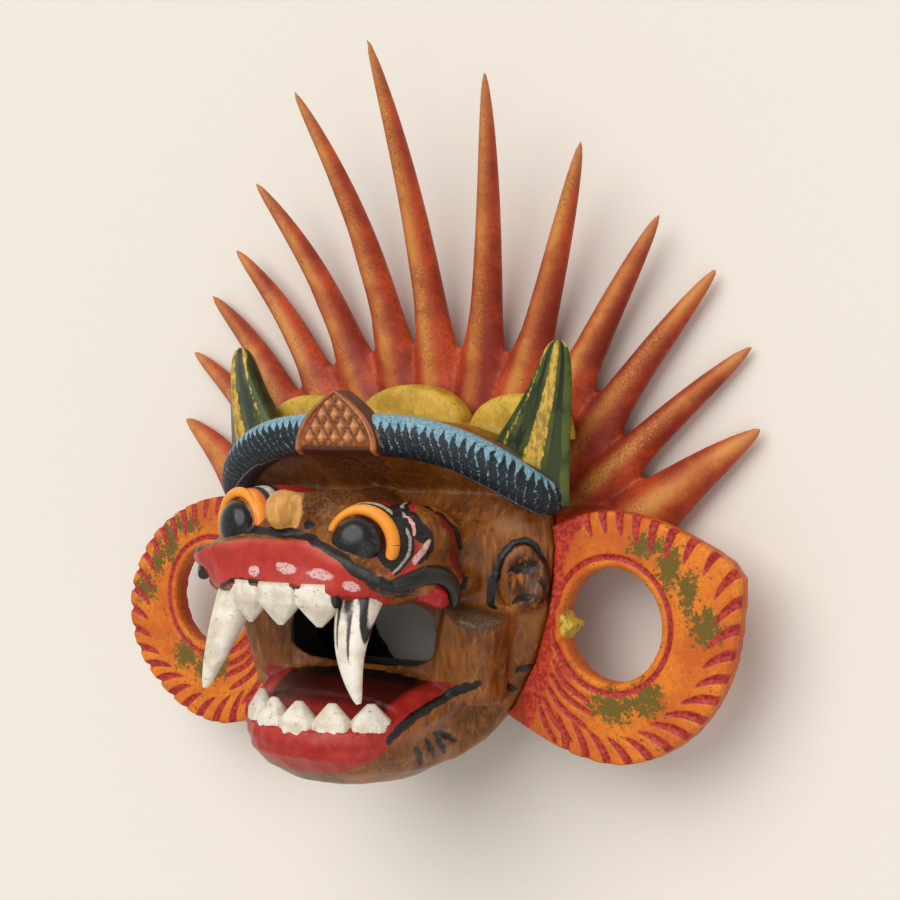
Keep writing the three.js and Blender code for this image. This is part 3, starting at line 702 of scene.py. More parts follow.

# %% [markdown]
# The painter followed the carving: red on both lips and the mouth's floor, a black line over the lip's rim,
# black and pink lines at the corner of each eye and a tan thumb of bare wood for the nose. Painted shade
# darkens the inside.
# Each area is a number in millimetres, positive inside the area, so the paint can place its edge exactly.

# %% Painted areas of the face
EYE_X = 34
EYE_TURN = 0.3
EYE_PIVOT = 112
EYE_HEIGHT = {1: 108.5, -1: 115}

x, y, z = points.T
outward = np.clip((np.abs(x) / 72 - 0.2) / 0.8, 0, 1)
droop = np.where(x > 0, 19, 8) * outward * outward * (3 - 2 * outward)
rim_y = 111 - droop
lip_end = np.clip((np.abs(x) - 10) / 24, 0, 1)
teeth_y = 90 - np.where(x > 0, 10, 4) * lip_end * lip_end * (3 - 2 * lip_end)
reach = np.where(x > 0, 54 - x, 78 + x)
upper_red = np.minimum.reduce([rim_y - 1.0 - y, y - teeth_y, z - 108, reach])

RIM = [(-77, 100, 122), (-74, 104, 130), (-62, 108, 131), (-46, 112, 131), (-30, 114, 131),
       (-11, 113.2, 131.3), (9, 112, 132.3), (25, 109, 135.5), (37, 104, 136), (44, 98.5, 135.4),
       (50, 94.5, 133.3), (58.6, 90.7, 129.3), (66, 88, 123.4)]
rim_ink = 2.7 - to_line(points, on_skin(RIM, points))[0]
# A dark brown band lies over the near end of the upper lip, towards the curl.
LIP_END_LINE = [(47, 98.5, 134), (54.7, 91, 132), (61, 86.5, 125), (68, 87, 118)]
smear = brushed(points, LIP_END_LINE, 3.4, 0.3)
TEETH_EDGE = [(-41.5, 85, 132.6), (-34, 87.5, 136), (-27.5, 89, 138.3), (-15.5, 89.8, 140.7),
              (-3, 88.2, 141.6), (9.5, 86.3, 140.5), (20, 83.5, 139.2), (30.5, 79.6, 136), (40.5, 78, 133),
              (50, 79.5, 128)]
teeth_ink = 1.2 - to_line(points, on_skin(TEETH_EDGE, points))[0]

low_y = np.interp(z, (60, 68, 81, 92, 103, 107, 113, 118), (39, 36, 31, 26, 18, 12, 3, -5))
front_y = np.interp(x, (-46, -33, -18, 0, 24, 38, 46), (12, 5.4, -1.5, -4.8, -2.5, 3.3, 12))
high_y = np.interp(z, (66, 84, 98, 110), (36, 41, 50, 54))
lower_red = np.minimum.reduce([y - np.where(z > 108, front_y, low_y), high_y - y, z - 62, 60 - np.abs(x)])
lower_red = np.where(hidden & (z < 70), FAR, lower_red)

# Brush strokes on both sides: line, half width and how much the stroke thins towards its ends.
CORNER = [(48, 124.5, 104), (56, 122, 103), (60.5, 117.5, 104), (65, 110.5, 101), (62.5, 103, 102.5),
          (62, 100, 108)]
INK = [(line, 1.7, 0.9) for line in EAR_FOLDS + WHISKERS + LEAVES]
INK += [(WRINKLE, 2.6, 0.8), (EAR_EDGE, 2.6, 0.3), (CORNER, 1.7, 0.3),
        ([(55, 120.5, 109), (59.5, 116, 106.5), (63, 110.5, 104)], 3.4, 0.5)]
LID_RED = [([(52, 119.5, 114), (56.5, 116, 111), (59, 111, 110)], 3.2, 0.4),
           ([(63, 98.5, 110), (62, 94.5, 118), (57, 94.5, 124)], 1.8, 0.4)]
PINK = [([(64, 109.5, 102), (61.5, 104, 106), (61.5, 100, 111)], 1.5, 0.4),
        ([(54, 122.8, 107), (58.5, 119, 107.5), (60.5, 113, 108.5)], 0.9, 0.4)]


def all_brushed(rows):
    return np.maximum.reduce([brushed(right, *row) for row in rows])


nostril = np.where(z > 118, brushed(points, [(9, 117, 129), (13, 117, 128)], 2.2, 0.3), FAR)
ink = np.maximum.reduce([rim_ink, teeth_ink, all_brushed(INK), brushed(points, JAW_TAIL, 2.8, 0.5), nostril])
# Painted highlights: pale marks on the upper lip stand for the gloss on its paint.
gloss_marks = np.full(len(points), FAR)
for middle_x, middle_y, half_wide in ((-14, 94.5, 3.6), (6, 96.8, 6.5), (26.5, 94.6, 7.0), (42.5, 89.4, 4.4)):
    mark = 2.2 * (1 - np.hypot((x - middle_x) / half_wide, (y - middle_y + 0.12 * (x - middle_x)) / 2.6))
    gloss_marks = np.maximum(gloss_marks, np.where(z > 120, mark, FAR))
nose_tan = 1 - np.sqrt(((x + 2.5) / 12.5) ** 2 + ((y - 124.5) / 13) ** 2 + ((z - 133) / 15) ** 2)
# Rings painted on the brow, about the axis of each eye.
eye_axis = np.array((math.sin(EYE_TURN), 0, math.cos(EYE_TURN)))
eye_y = np.where(x > 0, EYE_HEIGHT[1], EYE_HEIGHT[-1])
from_eye = right - np.column_stack((np.full(len(x), EYE_X + 1.5), eye_y, np.full(len(x), EYE_PIVOT)))
along_eye = from_eye @ eye_axis
eye_radius = np.linalg.norm(from_eye - along_eye[:, None] * eye_axis, axis=1)
inner_side = np.clip((30 - np.abs(x)) / 8, 0, 1)
below_eye = np.clip((-3 - from_eye[:, 1]) / 4, 0, 1) * np.clip((52 - np.abs(x)) / 6, 0, 1)
brow_rings = eye_radius + 9 * inner_side + 30 * below_eye
brow_rings = np.where((z > 88) & (z < 124) & (upper_red < -0.4) & (eye_radius < 40), brow_rings, 60)
FACET_NORMAL = np.array((0.43, 0.7, 0.57))
facet_depth = np.abs((right - (75.5, 70, 80)) @ FACET_NORMAL)
facet = np.minimum(3.2 - facet_depth, 16 - np.linalg.norm(right - (74, 70, 78), axis=1))
# The bowl of each side ear, which the paint darkens as painted shade.
ear_bowl = 1 - np.hypot((y - 90) / 16, (z - 53) / 11)

# far_in and dark carry painted shade: the mouth's red floor darkens towards the inside, and the hollow's
# inner walls go nearly black.
keep_fields(
    head, upper_red=upper_red, lower_red=lower_red, lid_red=all_brushed(LID_RED), ink=ink,
    wrinkle_red=brushed(right, WRINKLE_RED, 3.4, 0.7), pink=np.where(z > 96, all_brushed(PINK), FAR),
    gloss_marks=gloss_marks, smear=smear, facet=facet, brow_rings=(brow_rings - 22) / 2,
    yellow_foot=np.minimum.reduce([y - 158, 98 - np.abs(x), z - 19, 41.5 - z]),
    green_foot=np.minimum.reduce([y - 132, np.abs(x) - 78, z - 37, 63 - z]),
    far_in=(z - 92) / 5 + 6 * np.clip((np.abs(x) - 36) / 8, 0, 1),
    ear_bowl=np.where(np.abs(x) > 70, ear_bowl * 10, FAR), nose_tan=nose_tan * 10,
    dark=np.where(hidden, 84 - z, FAR), lip_height=(y - teeth_y) / 4,
    bridge=np.minimum.reduce([16 - np.abs(x), y - 122, z - 66]))
print("painted red:", int((np.maximum(upper_red, lower_red) > 0).sum()), "points")

# %% [markdown]
# Under the paint the wood is brown and varnished: streaks of gold and umber along the grain. Painted shade
# darkens the hollows: the bowls of the side ears, the mouth's floor towards the inside and the head's inside.
# The reds are brushed thinly, so some brown shows through, and a thin varnish covers everything.

# %% Face paint
SOOT = (0.014, 0.009, 0.008)

paint = Paint("face_paint")
grain = paint.noise(2.6, 5, 0.62, stretch=(1, 0.16, 0.8), twist=0.5)
clouds = paint.noise(24, 3)
fine = paint.noise(1.1, 3, 0.7)
specks = paint.noise(1.8, 2, 0.6)
wood = paint.blend(clouds, 0.3, 0.7, (0.125, 0.038, 0.006), (0.30, 0.095, 0.014))
wood = paint.blend(grain, 0.5, 0.72, wood, (0.50, 0.19, 0.032), 0.55)
wood = paint.blend(grain, 0.47, 0.33, wood, (0.060, 0.018, 0.004), 0.6)
wood = paint.blend(paint.field("yellow_foot"), -0.4, 0.4, wood, (0.40, 0.26, 0.030))
wood = paint.blend(paint.field("green_foot"), -0.4, 0.4, wood, (0.030, 0.042, 0.008))
stipple = paint.blend(fine, 0.42, 0.6, (0.08, 0.025, 0.009), (0.30, 0.12, 0.038))
tan = paint.blend(grain, 0.35, 0.65, (0.52, 0.22, 0.045), (0.72, 0.38, 0.10))
worn = paint.blend(fine, 0.4, 0.65, (0.075, 0.034, 0.015), (0.16, 0.08, 0.037))
wood = paint.coat(wood, ("bridge", stipple, 4.0, 1.5), ("nose_tan", tan, 0.6), ("facet", worn, 2.4, 0.8))
# Painted shade: the bowl of each side ear is darkened in streaks along the grain.
bowl = paint.times(paint.painted("ear_bowl", 3.0, 2.0), paint.band(grain, 0.62, 0.45))
wood = paint.mix(paint.times(bowl, 0.85), wood, (0.030, 0.012, 0.006))
red = paint.blend(paint.noise(7, 4, 0.6), 0.25, 0.75, (0.37, 0.020, 0.014), (0.52, 0.036, 0.022))
# Painted highlight: the upper lip turns a lighter red towards its top edge.
red = paint.blend(paint.field("lip_height"), 4.2, 5.6, red, (0.74, 0.17, 0.11), 0.35)
low = paint.blend(paint.noise(6, 4, 0.65), 0.3, 0.7, (0.33, 0.014, 0.011), (0.46, 0.032, 0.022))
low = paint.blend(specks, 0.70, 0.74, low, (0.72, 0.16, 0.03))
# Painted shade: the red of the mouth's floor darkens to near black towards the inside.
low = paint.blend(paint.field("far_in"), 4.8, 1.4, low, (0.022, 0.004, 0.004), 0.9)
colour = paint.coat(wood, ("upper_red", red, 0.5), ("lower_red", low, 1.0),
                    ("wrinkle_red", (0.20, 0.014, 0.012), 1.0, 0.9), ("lid_red", (0.62, 0.02, 0.015), 0.4))
rings = paint.plus(paint.field("brow_rings"), paint.times(paint.noise(4, 3), 0.8))
ivory = paint.blend(fine, 0.4, 0.6, (0.22, 0.19, 0.15), (0.50, 0.46, 0.39))
ring_ends = colour
for inner, outer, band_colour in ((2.5, 2.8, (0.36, 0.020, 0.014)), (1.65, 1.85, SOOT), (0.95, 1.15, ivory),
                                  (0.35, 0.5, SOOT)):
    ring_ends = paint.blend(rings, inner, outer, band_colour, ring_ends)
# Dark brown for the band over the lip's near end.
lip_end_brown = paint.blend(grain, 0.4, 0.6, (0.045, 0.015, 0.010), (0.11, 0.045, 0.030))
black = paint.blend(fine, 0.56, 0.7, (0.010, 0.008, 0.008), (0.07, 0.055, 0.05))
rose = paint.blend(fine, 0.35, 0.65, (0.62, 0.22, 0.21), (0.85, 0.55, 0.52))
colour = paint.coat(ring_ends, ("smear", lip_end_brown, 2.6, 1.0), ("ink", black, 0.8), ("pink", rose, 0.8))
# Painted highlights: pale lilac marks on the upper lip.
highlight_share = paint.times(paint.painted("gloss_marks", 1.6), paint.band(fine, 0.36, 0.5))
colour = paint.mix(paint.times(highlight_share, 0.85), colour, (0.76, 0.50, 0.50))
# Painted shade: the inner walls of the hollow are painted nearly black, fading out towards the mouth.
colour = paint.coat(colour, ("dark", (0.009, 0.006, 0.005), 2.0, 3.0))
roughness = paint.plus(paint.times(grain, 0.25), 0.26)
relief = paint.plus(grain, paint.times(fine, 0.5))
finished(head, paint.finish(colour, roughness, relief, 0.35, 0.45, coat=0.12, coat_roughness=0.3), 60)

# %% [markdown]
# ## The brim roll
# The brim ends in a fat roll that sags to both sides: a swept tube over the head's own faceted one. It is
# light blue on top and nearly black below, partly paint and partly painted shade under the roll, with
# slanted strokes from one into the other. The strokes need to know how far along and how far round the
# roll they are, so both are kept as fields.

# %% Roll
ROLL_STEPS = 110
ROLL_REACH = 99
ROLL_TOP = 160.5
ROLL_DROP = 31
ROLL_BACK = 50
ROLL_SWELL = 38


def roll_point(share):
    turn = math.pi * share
    height = ROLL_TOP - ROLL_DROP * abs(math.cos(turn)) ** 3.2
    return Vector((ROLL_REACH * math.cos(turn), height, ROLL_BACK + ROLL_SWELL * math.sin(turn)))


def roll_halves(share):
    half = 10.5 - 2.5 * abs(2 * share - 1) ** 4
    return half, half * 0.96


roll_line = [roll_point(i / ROLL_STEPS) for i in range(ROLL_STEPS + 1)]
roll = swept("brim_roll", path_rings(roll_line, Vector((0, 1, 0)), roll_halves), ring_shape(40, 2.3))
points = millimetres(roll)
gap, along, middle = to_line(points, roll_line)
arc = sum((b - a).length for a, b in zip(roll_line, roll_line[1:]))
away = points - middle
outward = middle * (1, 0, 1) - (0, 0, ROLL_BACK)
outward /= np.linalg.norm(outward, axis=1)[:, None]
round_turn = np.degrees(np.arctan2(np.einsum("ij,ij->i", away, outward), away[:, 1]))
keep_numbers(roll, along=along * arc, round_turn=round_turn)
print("roll is", round(arc), "mm long")

paint = Paint("roll_paint")
turned = paint.field("round_turn")
fine = paint.noise(0.9, 3, 0.7)
bristle = paint.noise(1.6, 4, 0.7)
slanted = paint.plus(paint.times(paint.field("along"), 1.35), paint.times(turned, 0.085))
slanted = paint.plus(slanted, paint.times(paint.noise(9, 3), 9.0))
strokes = paint.plus(paint.math("SINE", slanted), paint.times(paint.math("SUBTRACT", bristle, 0.5), 3.0))
blue = paint.blend(bristle, 0.35, 0.65, (0.10, 0.24, 0.33), (0.28, 0.46, 0.52))
night = paint.blend(fine, 0.55, 0.72, (0.008, 0.012, 0.018), (0.09, 0.14, 0.17))
# The roll goes from light blue on top to nearly black below: partly the strokes' paint and partly painted
# shade under the roll.
low_share = paint.band(turned, 38, 78)
dark_share = paint.band(paint.plus(strokes, paint.times(low_share, 2.2)), 0.9, 1.3)
dark_share = paint.times(dark_share, paint.band(turned, 28, 46))
dark_share = paint.math("MAXIMUM", dark_share, paint.band(paint.math("ABSOLUTE", turned), 112, 140))
colour = paint.mix(dark_share, blue, night)
scratches = paint.times(paint.band(strokes, -0.9, -1.5), paint.band(turned, 60, 85))
colour = paint.mix(paint.times(scratches, 0.5), colour, (0.40, 0.46, 0.46))
relief = paint.plus(paint.times(strokes, -0.25), bristle)
finished(roll, paint.finish(colour, 0.5, relief, 0.5, 0.6), 70)

# %% [markdown]
# ## Petals and leaf horns
# Behind the roll stand three yellow petals and, at its ends, two fluted green leaves. A petal is a half
# disc, extruded forward and drawn in towards its face. A leaf is swept upwards from a wide foot: its outer
# edge stays straight and its inner edge sweeps in.

# %% Petals
PETALS = [(-68, 29, 23), (0, 36, 28), (68, 29, 23)]
PETAL_FOOT = 158
PETAL_SHAPE = [(math.cos(t), -abs(math.sin(t)) ** 0.75) for t in [math.pi * i / 28 for i in range(29)]]
PETAL_LAYERS = [
    (22, 0.90), (23, 0.96), (25, 0.99), (28, 1.0), (34, 0.99), (36.5, 0.96), (38.3, 0.90), (39.2, 0.80),
]
ACROSS = Vector((1, 0, 0))
CROWNWARD = Vector((0, 1, 0))
FORWARD = Vector((0, 0, 1))


def petal(number, across, half_width, tall):
    rings = [((across, PETAL_FOOT, z), ACROSS, FORWARD, half_width * size, tall * size)
             for z, size in PETAL_LAYERS]
    return swept(f"petal_{number}", rings, PETAL_SHAPE)


petals = joined([petal(number, *row) for number, row in enumerate(PETALS)], "yellow_petals")
paint = Paint("petal_paint")
clouds = paint.noise(14, 4, 0.6)
fine = paint.noise(1.6, 4, 0.7, stretch=(1, 0.45, 1))
yellow = paint.blend(clouds, 0.35, 0.65, (0.42, 0.24, 0.016), (0.68, 0.43, 0.055))
yellow = paint.blend(fine, 0.55, 0.68, yellow, (0.17, 0.15, 0.022), 0.75)
finished(petals, paint.finish(yellow, 0.5, fine, 0.4, 0.5), 40)

# %% Leaf horns
HORN_FLUTES = 5
HORN_STEPS = 36
HORN_SIDES = 80
HORN_FOOT = 134
HORN_RISE = 72.4
HORN_EASE = 0.85
HORN_EDGE = 111
HORN_Z = 50


def horn_width(share):
    return 16 + 42 * (1 - share) ** 1.7


def horn_depth(share):
    return 11 * (1 - 0.45 * share)


def horn_halves(share):
    blunt = math.sqrt(max(0.02, 1 - 0.95 * share ** 10))
    return horn_width(share) / 2 * blunt + 0.3, horn_depth(share) * blunt + 0.3


HORN_SHAPE = []
for i in range(HORN_SIDES):
    turn = math.tau * i / HORN_SIDES
    swell = 1 - 0.17 * (0.5 - 0.5 * math.cos(HORN_FLUTES * turn)) ** 0.7
    HORN_SHAPE.append((math.cos(turn) * swell, math.sin(turn) * swell))
horn_line = []
for i in range(HORN_STEPS + 1):
    share = i / HORN_STEPS
    height = HORN_FOOT + HORN_RISE * share ** HORN_EASE
    horn_line.append(Vector((HORN_EDGE - horn_width(share) / 2, height, HORN_Z)))
right_horn = swept("right_leaf", path_rings(horn_line, ACROSS, horn_halves), HORN_SHAPE)

only(right_horn)
bpy.ops.object.duplicate()
left_horn = bpy.context.object
left_horn.name = left_horn.data.name = "left_leaf"
put_back(left_horn, millimetres(left_horn) * (-1, 1, 1))
face_outwards(left_horn)

for leaf in (right_horn, left_horn):
    x, y, z = mirrored(millimetres(leaf)).T
    share = np.clip((y - HORN_FOOT) / HORN_RISE, 0, 1) ** (1 / HORN_EASE)
    half = horn_width(share) / 2
    sideways = (x - (HORN_EDGE - half)) / half
    turn = np.arctan2((z - HORN_Z) / horn_depth(share), -sideways)
    flute = 0.5 - 0.5 * np.cos(HORN_FLUTES * (turn + math.pi))
    keep_numbers(leaf, flute=flute, middle=1 - np.abs(sideways))

paint = Paint("leaf_paint")
clouds = paint.noise(12, 3)
flecks = paint.noise(2.4, 5, 0.72, stretch=(1, 0.5, 1))
green = paint.blend(clouds, 0.35, 0.65, (0.016, 0.034, 0.006), (0.075, 0.095, 0.010))
amber = paint.blend(flecks, 0.4, 0.6, (0.30, 0.19, 0.025), (0.66, 0.40, 0.055))
# The flute crests towards the leaf's middle turn amber: partly the leaf's yellow paint and partly painted
# highlight.
yellow_and_highlight = paint.times(paint.band(paint.field("flute"), 0.55, 0.15), paint.band(paint.field("middle"), 0.12, 0.5))
yellow_and_highlight = paint.plus(yellow_and_highlight, paint.times(paint.math("SUBTRACT", flecks, 0.5), 2.4))
colour = paint.blend(yellow_and_highlight, 0.35, 0.75, green, amber)
# Painted shade: the bottoms of the flutes are nearly black.
colour = paint.blend(paint.field("flute"), 0.72, 0.95, colour, (0.010, 0.016, 0.006))
leaf_paint = paint.finish(colour, 0.42, flecks, 0.4, 0.5, coat=0.15)
for leaf in (right_horn, left_horn):
    finished(leaf, leaf_paint, 60)

# %% [markdown]
# ## The crest
# A small plaque stands on the brim's middle. Its face is a lattice of raised diamonds between two
# mouldings. A fine grid is squeezed to the plaque's outline, each point is lifted by the height of its
# diamond, and the rim is extruded back into the brim.

# %% Crest plaque
CREST_X = 3
CREST_HALF = 26.3
CREST_FOOT = 150
CREST_BASE = 153
CREST_TOP = 183
CREST_FRONT = 98.5
CREST_THICK = 10
DIAMOND = 8.2
DIAMOND_SLOPE = 0.72

nothing_selected()
bpy.ops.mesh.primitive_grid_add(x_subdivisions=96, y_subdivisions=72, size=2)
crest = bpy.context.object
crest.name = "diamond_crest"
heights = []
for vertex in crest.data.vertices:
    u, v = vertex.co.x, (vertex.co.y + 1) / 2
    height = CREST_FOOT + (CREST_TOP - 0.6 - CREST_FOOT) * v
    share = (height - CREST_BASE) / (CREST_TOP - CREST_BASE)
    half = CREST_HALF * (1 - max(0.0, share) ** 2.1)
    across = u * half
    climb = DIAMOND_SLOPE * (height - CREST_BASE)
    groove_gaps = [1 - 2 * abs((across + way) / DIAMOND % 1 - 0.5) for way in (climb, -climb)]
    side = (1 - abs(u)) * half
    moulding = 1.5 * math.exp(-((side - 2.4) / 1.3) ** 2)
    field = min(max((side - 4.2) / 1.5, 0), 1) * min(max((height - CREST_BASE - 1) / 3, 0), 1)
    lift = 2.6 * min(groove_gaps) * field + moulding
    heights.append(lift)
    tucked = 4 * max(0, (CREST_BASE - height) / 3) ** 1.3
    vertex.co = at(CREST_X + across, height, CREST_FRONT + lift - tucked)
keep_numbers(crest, lift=heights)
only(crest)
bpy.ops.object.mode_set(mode="EDIT")
bpy.ops.mesh.select_all(action="SELECT")
bpy.ops.mesh.extrude_region_move(TRANSFORM_OT_translate={"value": (0, 0, -CREST_THICK * MM)})
bpy.ops.object.mode_set(mode="OBJECT")
face_outwards(crest)

paint = Paint("crest_paint")
fine = paint.noise(1.4, 4, 0.7)
clouds = paint.noise(10, 3)
copper = paint.blend(clouds, 0.35, 0.65, (0.24, 0.050, 0.014), (0.44, 0.12, 0.028))
# The raised diamonds are lighter, and the low ground between them is darkened as painted shade.
raised = paint.plus(paint.field("lift"), paint.times(fine, 1.6))
copper = paint.blend(raised, 1.4, 3.2, copper, (0.74, 0.36, 0.14), 0.8)
copper = paint.blend(paint.field("lift"), 0.55, 0.0, copper, (0.085, 0.022, 0.010))
finished(crest, paint.finish(copper, 0.42, fine, 0.4, 0.4, coat=0.2), 30)

# %% [markdown]
# ## Eyes
# Each eye is a turned shape: a glossy black ball inside a raised ring. A small ring is extruded back along
# the eye's axis and set to a new radius each time. The painted rings follow the radius and the depth.

# %% Eyes
EYE_TURNS = [
    (0.6, 132.6), (4, 132.4), (7.5, 131.6), (10.2, 130.1), (12.0, 128.2), (12.9, 126.4), (13.2, 124.4),
    (13.5, 122.6), (13.8, 122.0), (14.2, 122.4), (14.8, 123.4), (15.6, 124.0), (16.6, 123.5), (17.6, 122.2),
    (18.3, 120), (18.7, 117), (18.9, 115), (19.0, 114), (19.4, 113), (19.7, 110), (19.8, 104), (19.8, 98),
    (18.5, 86),
]


def turned_out(piece, side, radius, depth):
    """Keeps the numbers for the rings, then turns the piece outwards about its pivot, at its eye's height."""
    keep_numbers(piece, radius=radius, depth=depth)
    x, y, z = (millimetres(piece) - (side * EYE_X, 0, EYE_PIVOT)).T
    sine, cosine = math.sin(side * EYE_TURN), math.cos(EYE_TURN)
    turned = np.column_stack((x * cosine + z * sine, y, z * cosine - x * sine))
    put_back(piece, turned + (side * EYE_X, EYE_HEIGHT[side], EYE_PIVOT))
    return piece


def eye(side):
    rings = [((side * EYE_X, 0, z), ACROSS, FORWARD, radius, radius) for radius, z in EYE_TURNS]
    piece = swept("eye", rings, ring_shape(72, 2))
    x, y, z = millimetres(piece).T
    return turned_out(piece, side, np.hypot(x - side * EYE_X, y), z)


LID_X = EYE_X + 0.6
LID_Z = 122.6
LID_STEPS = 60


def lid_size(turn):
    """Reach from the eye's axis and half thickness: thin towards the nose and thick on the outer side."""
    outer = 0.5 + 0.5 * np.cos(turn - 0.35)
    return 15.2 + 1.7 * outer, 1.2 + 2.3 * outer


def lid(side):
    line = []
    for i in range(LID_STEPS + 1):
        turn = math.tau * i / LID_STEPS
        reach = lid_size(turn)[0]
        line.append(Vector((side * (LID_X + reach * math.cos(turn)), reach * math.sin(turn), LID_Z)))
    rings = path_rings(line, FORWARD, lambda share: [lid_size(math.tau * share)[1]] * 2)
    piece = swept("lid", rings, ring_shape(20, 2))
    x, y, z = millimetres(piece).T
    reach, half = lid_size(np.arctan2(y, side * (x - side * LID_X)))
    inwards = np.clip((reach - np.hypot(x - side * LID_X, y)) / half, 0, 1)
    return turned_out(piece, side, 17.3 - 2.2 * inwards ** 1.3, np.full(len(x), 122.0))


eyes = joined([eye(1), eye(-1), lid(1), lid(-1)], "painted_eyes")
paint = Paint("eye_paint")
wobble = paint.times(paint.math("SUBTRACT", paint.noise(5, 3), 0.5), 1.2)
radius = paint.plus(paint.field("radius"), wobble)
depth = paint.plus(paint.field("depth"), wobble)
streak = paint.noise(1.8, 4, 0.65)
ball = paint.blend(paint.noise(2.6, 4), 0.55, 0.7, (0.006, 0.006, 0.006), (0.035, 0.035, 0.032))
orange = paint.blend(radius, 15.4, 16.5, (0.66, 0.05, 0.012), (0.88, 0.31, 0.022))
orange = paint.blend(radius, 18.0, 18.7, orange, (0.70, 0.09, 0.015))
colour = paint.blend(radius, 14.3, 14.8, (0.30, 0.012, 0.010), orange)
colour = paint.blend(radius, 13.3, 13.7, ball, colour)
colour = paint.blend(depth, 117.4, 116.6, colour, (0.018, 0.012, 0.012))
ivory = paint.blend(streak, 0.4, 0.6, (0.40, 0.36, 0.28), (0.62, 0.57, 0.47))
colour = paint.blend(depth, 114.0, 113.3, colour, ivory)
colour = paint.blend(depth, 110.2, 109.5, colour, (0.020, 0.012, 0.012))
colour = paint.blend(depth, 107.0, 106.2, colour, (0.35, 0.020, 0.016))
roughness = paint.plus(paint.times(paint.band(radius, 13.3, 13.9), 0.2), 0.24)
finished(eyes, paint.finish(colour, roughness, streak, 0.15, 0.3, coat=0.3, coat_roughness=0.22), 60)

# %% [markdown]
# ## Teeth and fangs
# The upper teeth are blunt pyramids with a flat facet cut at the front, the lower ones are shorter and
# rounder, and the fangs curve forward and out. Each is a swept ring with few sides; a bevel rounds its
# edges just enough to keep the facets of a knife-cut tooth.

# %% Teeth
UPPER_PROFILE = [(0.0, 1.0), (0.25, 1.06), (0.5, 1.0), (0.78, 0.56), (1.03, 0.13)]
LOWER_PROFILE = [(-0.1, 0.9), (0.2, 1.04), (0.55, 1.0), (0.8, 0.6), (1.04, 0.2)]
# Each tooth: x, foot y, tip y, z and how far it is turned outwards.
UPPER_TEETH = [(-22, 90, 69.5, 133, -0.25), (0, 90, 69.5, 136, 0), (22, 90, 69.5, 133, 0.25)]
LOWER_TEETH = [(-35, 13, 32, 110, -0.7), (-18.5, 12, 30, 119.5, -0.25), (0, 12, 30, 122.5, 0),
               (18.5, 12, 30, 119.5, 0.25), (35, 13, 30, 110, 0.7)]


def tooth(across, foot_y, tip_y, z, turned, width, depth, profile):
    side = Vector((math.cos(turned), 0, -math.sin(turned)))
    ahead = CROWNWARD if tip_y > foot_y else -CROWNWARD
    rings = []
    for share, size in profile:
        centre = (across, foot_y + (tip_y - foot_y) * share, z)
        rings.append((centre, side, ahead, width / 2 * size, depth / 2 * size))
    piece = swept("tooth", rings, ring_shape(10, 2.6))
    apply(piece, "BEVEL", width=0.9 * MM, segments=2, limit_method="ANGLE", angle_limit=math.radians(22))
    return piece


FANG_ROOT = Vector((38.5, 84, 122))
FANG_TIP = Vector((49, 35, 137))


def fang(side):
    line = []
    for i in range(25):
        share = i / 24
        bow = 4 * math.sin(math.pi * share)
        point = FANG_ROOT.lerp(FANG_TIP, share) + Vector((-0.6 * bow, 0, bow))
        line.append(Vector((side * point.x, point.y, point.z)))
    stretched = [line[0] + (line[0] - line[1]) * 3] + line
    return swept("fang", path_rings(stretched, ACROSS, lambda share: (
        1.2 + 11.6 * (1 - share) ** 0.74, 1.2 + 7.1 * (1 - share) ** 0.74)), ring_shape(24, 2.2))


teeth = joined([*[tooth(*row, 24.6, 14, UPPER_PROFILE) for row in UPPER_TEETH],
                *[tooth(*row, 20.6, 13.6, LOWER_PROFILE) for row in LOWER_TEETH],
                fang(1), fang(-1)], "teeth_and_fangs")
points = millimetres(teeth)
x, y, z = points.T
stripes = np.full(len(points), FAR)
for offset, high, low in ((-7.0, 86, 58), (-0.5, 86, 50), (6.0, 86, 60)):
    line = [(40 + offset + 8 * (85 - level) / 50, level, 0) for level in (high, (high + low) / 2, low)]
    gap, along, _ = to_line(points * (1, 1, 0), line)
    stripes = np.maximum(stripes, 2.1 * (1 - along) ** 0.7 - gap)
keep_fields(teeth, stripes=np.where((x > 28) & (y > 40), stripes, FAR),
            from_gum=np.where(y > 50, 90 - y, y - 10) / 4)
print("teeth:", len(points), "points")

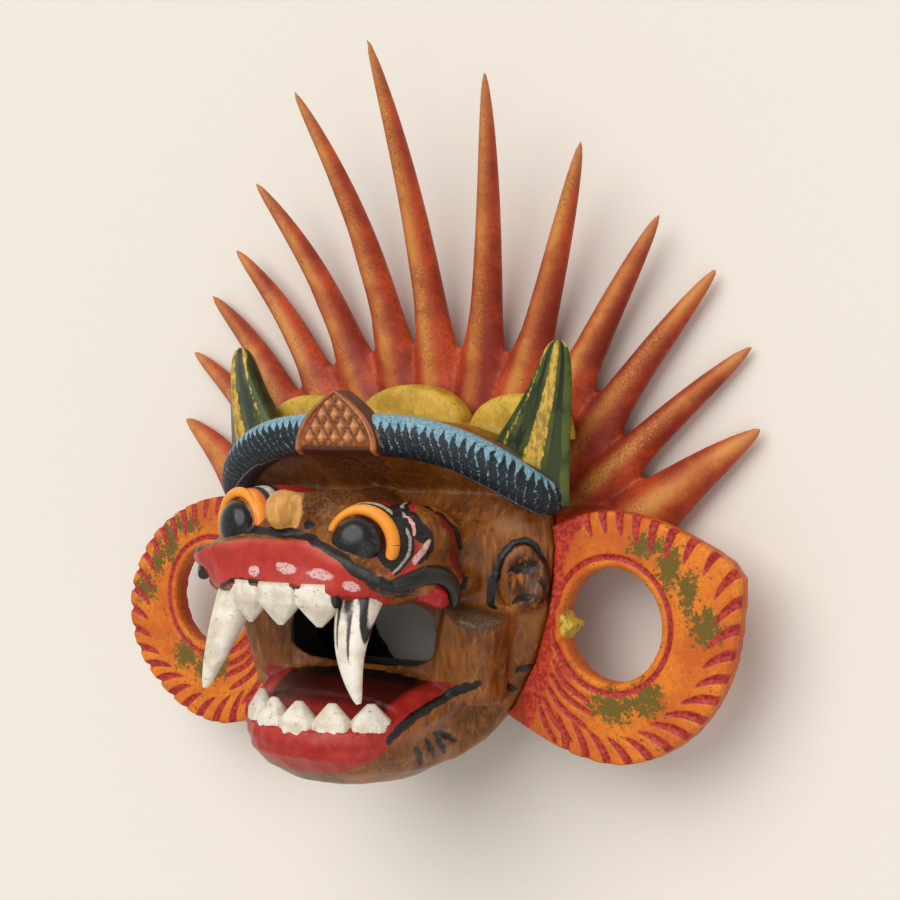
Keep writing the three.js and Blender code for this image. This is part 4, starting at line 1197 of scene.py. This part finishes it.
paint = Paint("tooth_paint")
clouds = paint.noise(8, 4)
fine = paint.noise(1.3, 4, 0.7)
white = paint.blend(clouds, 0.35, 0.65, (0.66, 0.57, 0.44), (0.83, 0.78, 0.68))
white = paint.blend(paint.noise(2.6, 5, 0.75), 0.6, 0.66, white, (0.16, 0.12, 0.08), 0.8)
gum = paint.plus(paint.field("from_gum"), paint.times(fine, 0.8))
white = paint.blend(gum, 1.0, 0.3, white, (0.42, 0.24, 0.17), 0.6)
colour = paint.coat(white, ("stripes", (0.022, 0.018, 0.018), 0.7))
finished(teeth, paint.finish(colour, 0.38, fine, 0.3, 0.35, coat=0.3, coat_roughness=0.2), 40)

# %% [markdown]
# ## The curl at the mouth's corner
# Where the lip's rim meets the cheek it turns down into a short black curl with a red hollow inside. It is
# a swept horn of wood, and the hollow is a small bent leaf behind it.

# %% Lip curls
CURL = [(60, 90, 126), (65, 92, 119), (69, 94.5, 110), (71.5, 93.5, 102), (72.5, 89, 96), (71.5, 83, 92),
        (69.5, 78, 90)]
CURL_RED = [(64, 86, 113), (67, 85.5, 106), (68, 82.5, 100), (67, 79, 95)]


def curl(side, line, thick):
    def halves(share):
        half = 0.8 + (thick - 0.8) * math.sin(math.pi * min(1, 0.12 + 0.88 * share)) ** 0.7 + 0.2
        return half, half

    smooth = [Vector((side * p[0], p[1], p[2])) for p in curved(line, 6)]
    return swept("curl", path_rings(smooth, CROWNWARD, halves), ring_shape(20, 2.2))


curls = joined([curl(1, CURL, 4.6), curl(-1, CURL, 4.6)], "lip_curls")
paint = Paint("curl_paint")
fine = paint.noise(1.2, 4, 0.7)
curl_black = paint.blend(fine, 0.56, 0.7, (0.010, 0.008, 0.008), (0.06, 0.05, 0.045))
finished(curls, paint.finish(curl_black, 0.35, fine, 0.4, 0.4, coat=0.3), 60)

hollows = joined([curl(1, CURL_RED, 5.4), curl(-1, CURL_RED, 5.4)], "curl_hollows")
paint = Paint("curl_red")
fine = paint.noise(2.2, 4, 0.7)
deep_red = paint.blend(fine, 0.4, 0.62, (0.30, 0.006, 0.010), (0.50, 0.016, 0.018))
finished(hollows, paint.finish(deep_red, 0.4, fine, 0.3, 0.4, coat=0.2), 60)
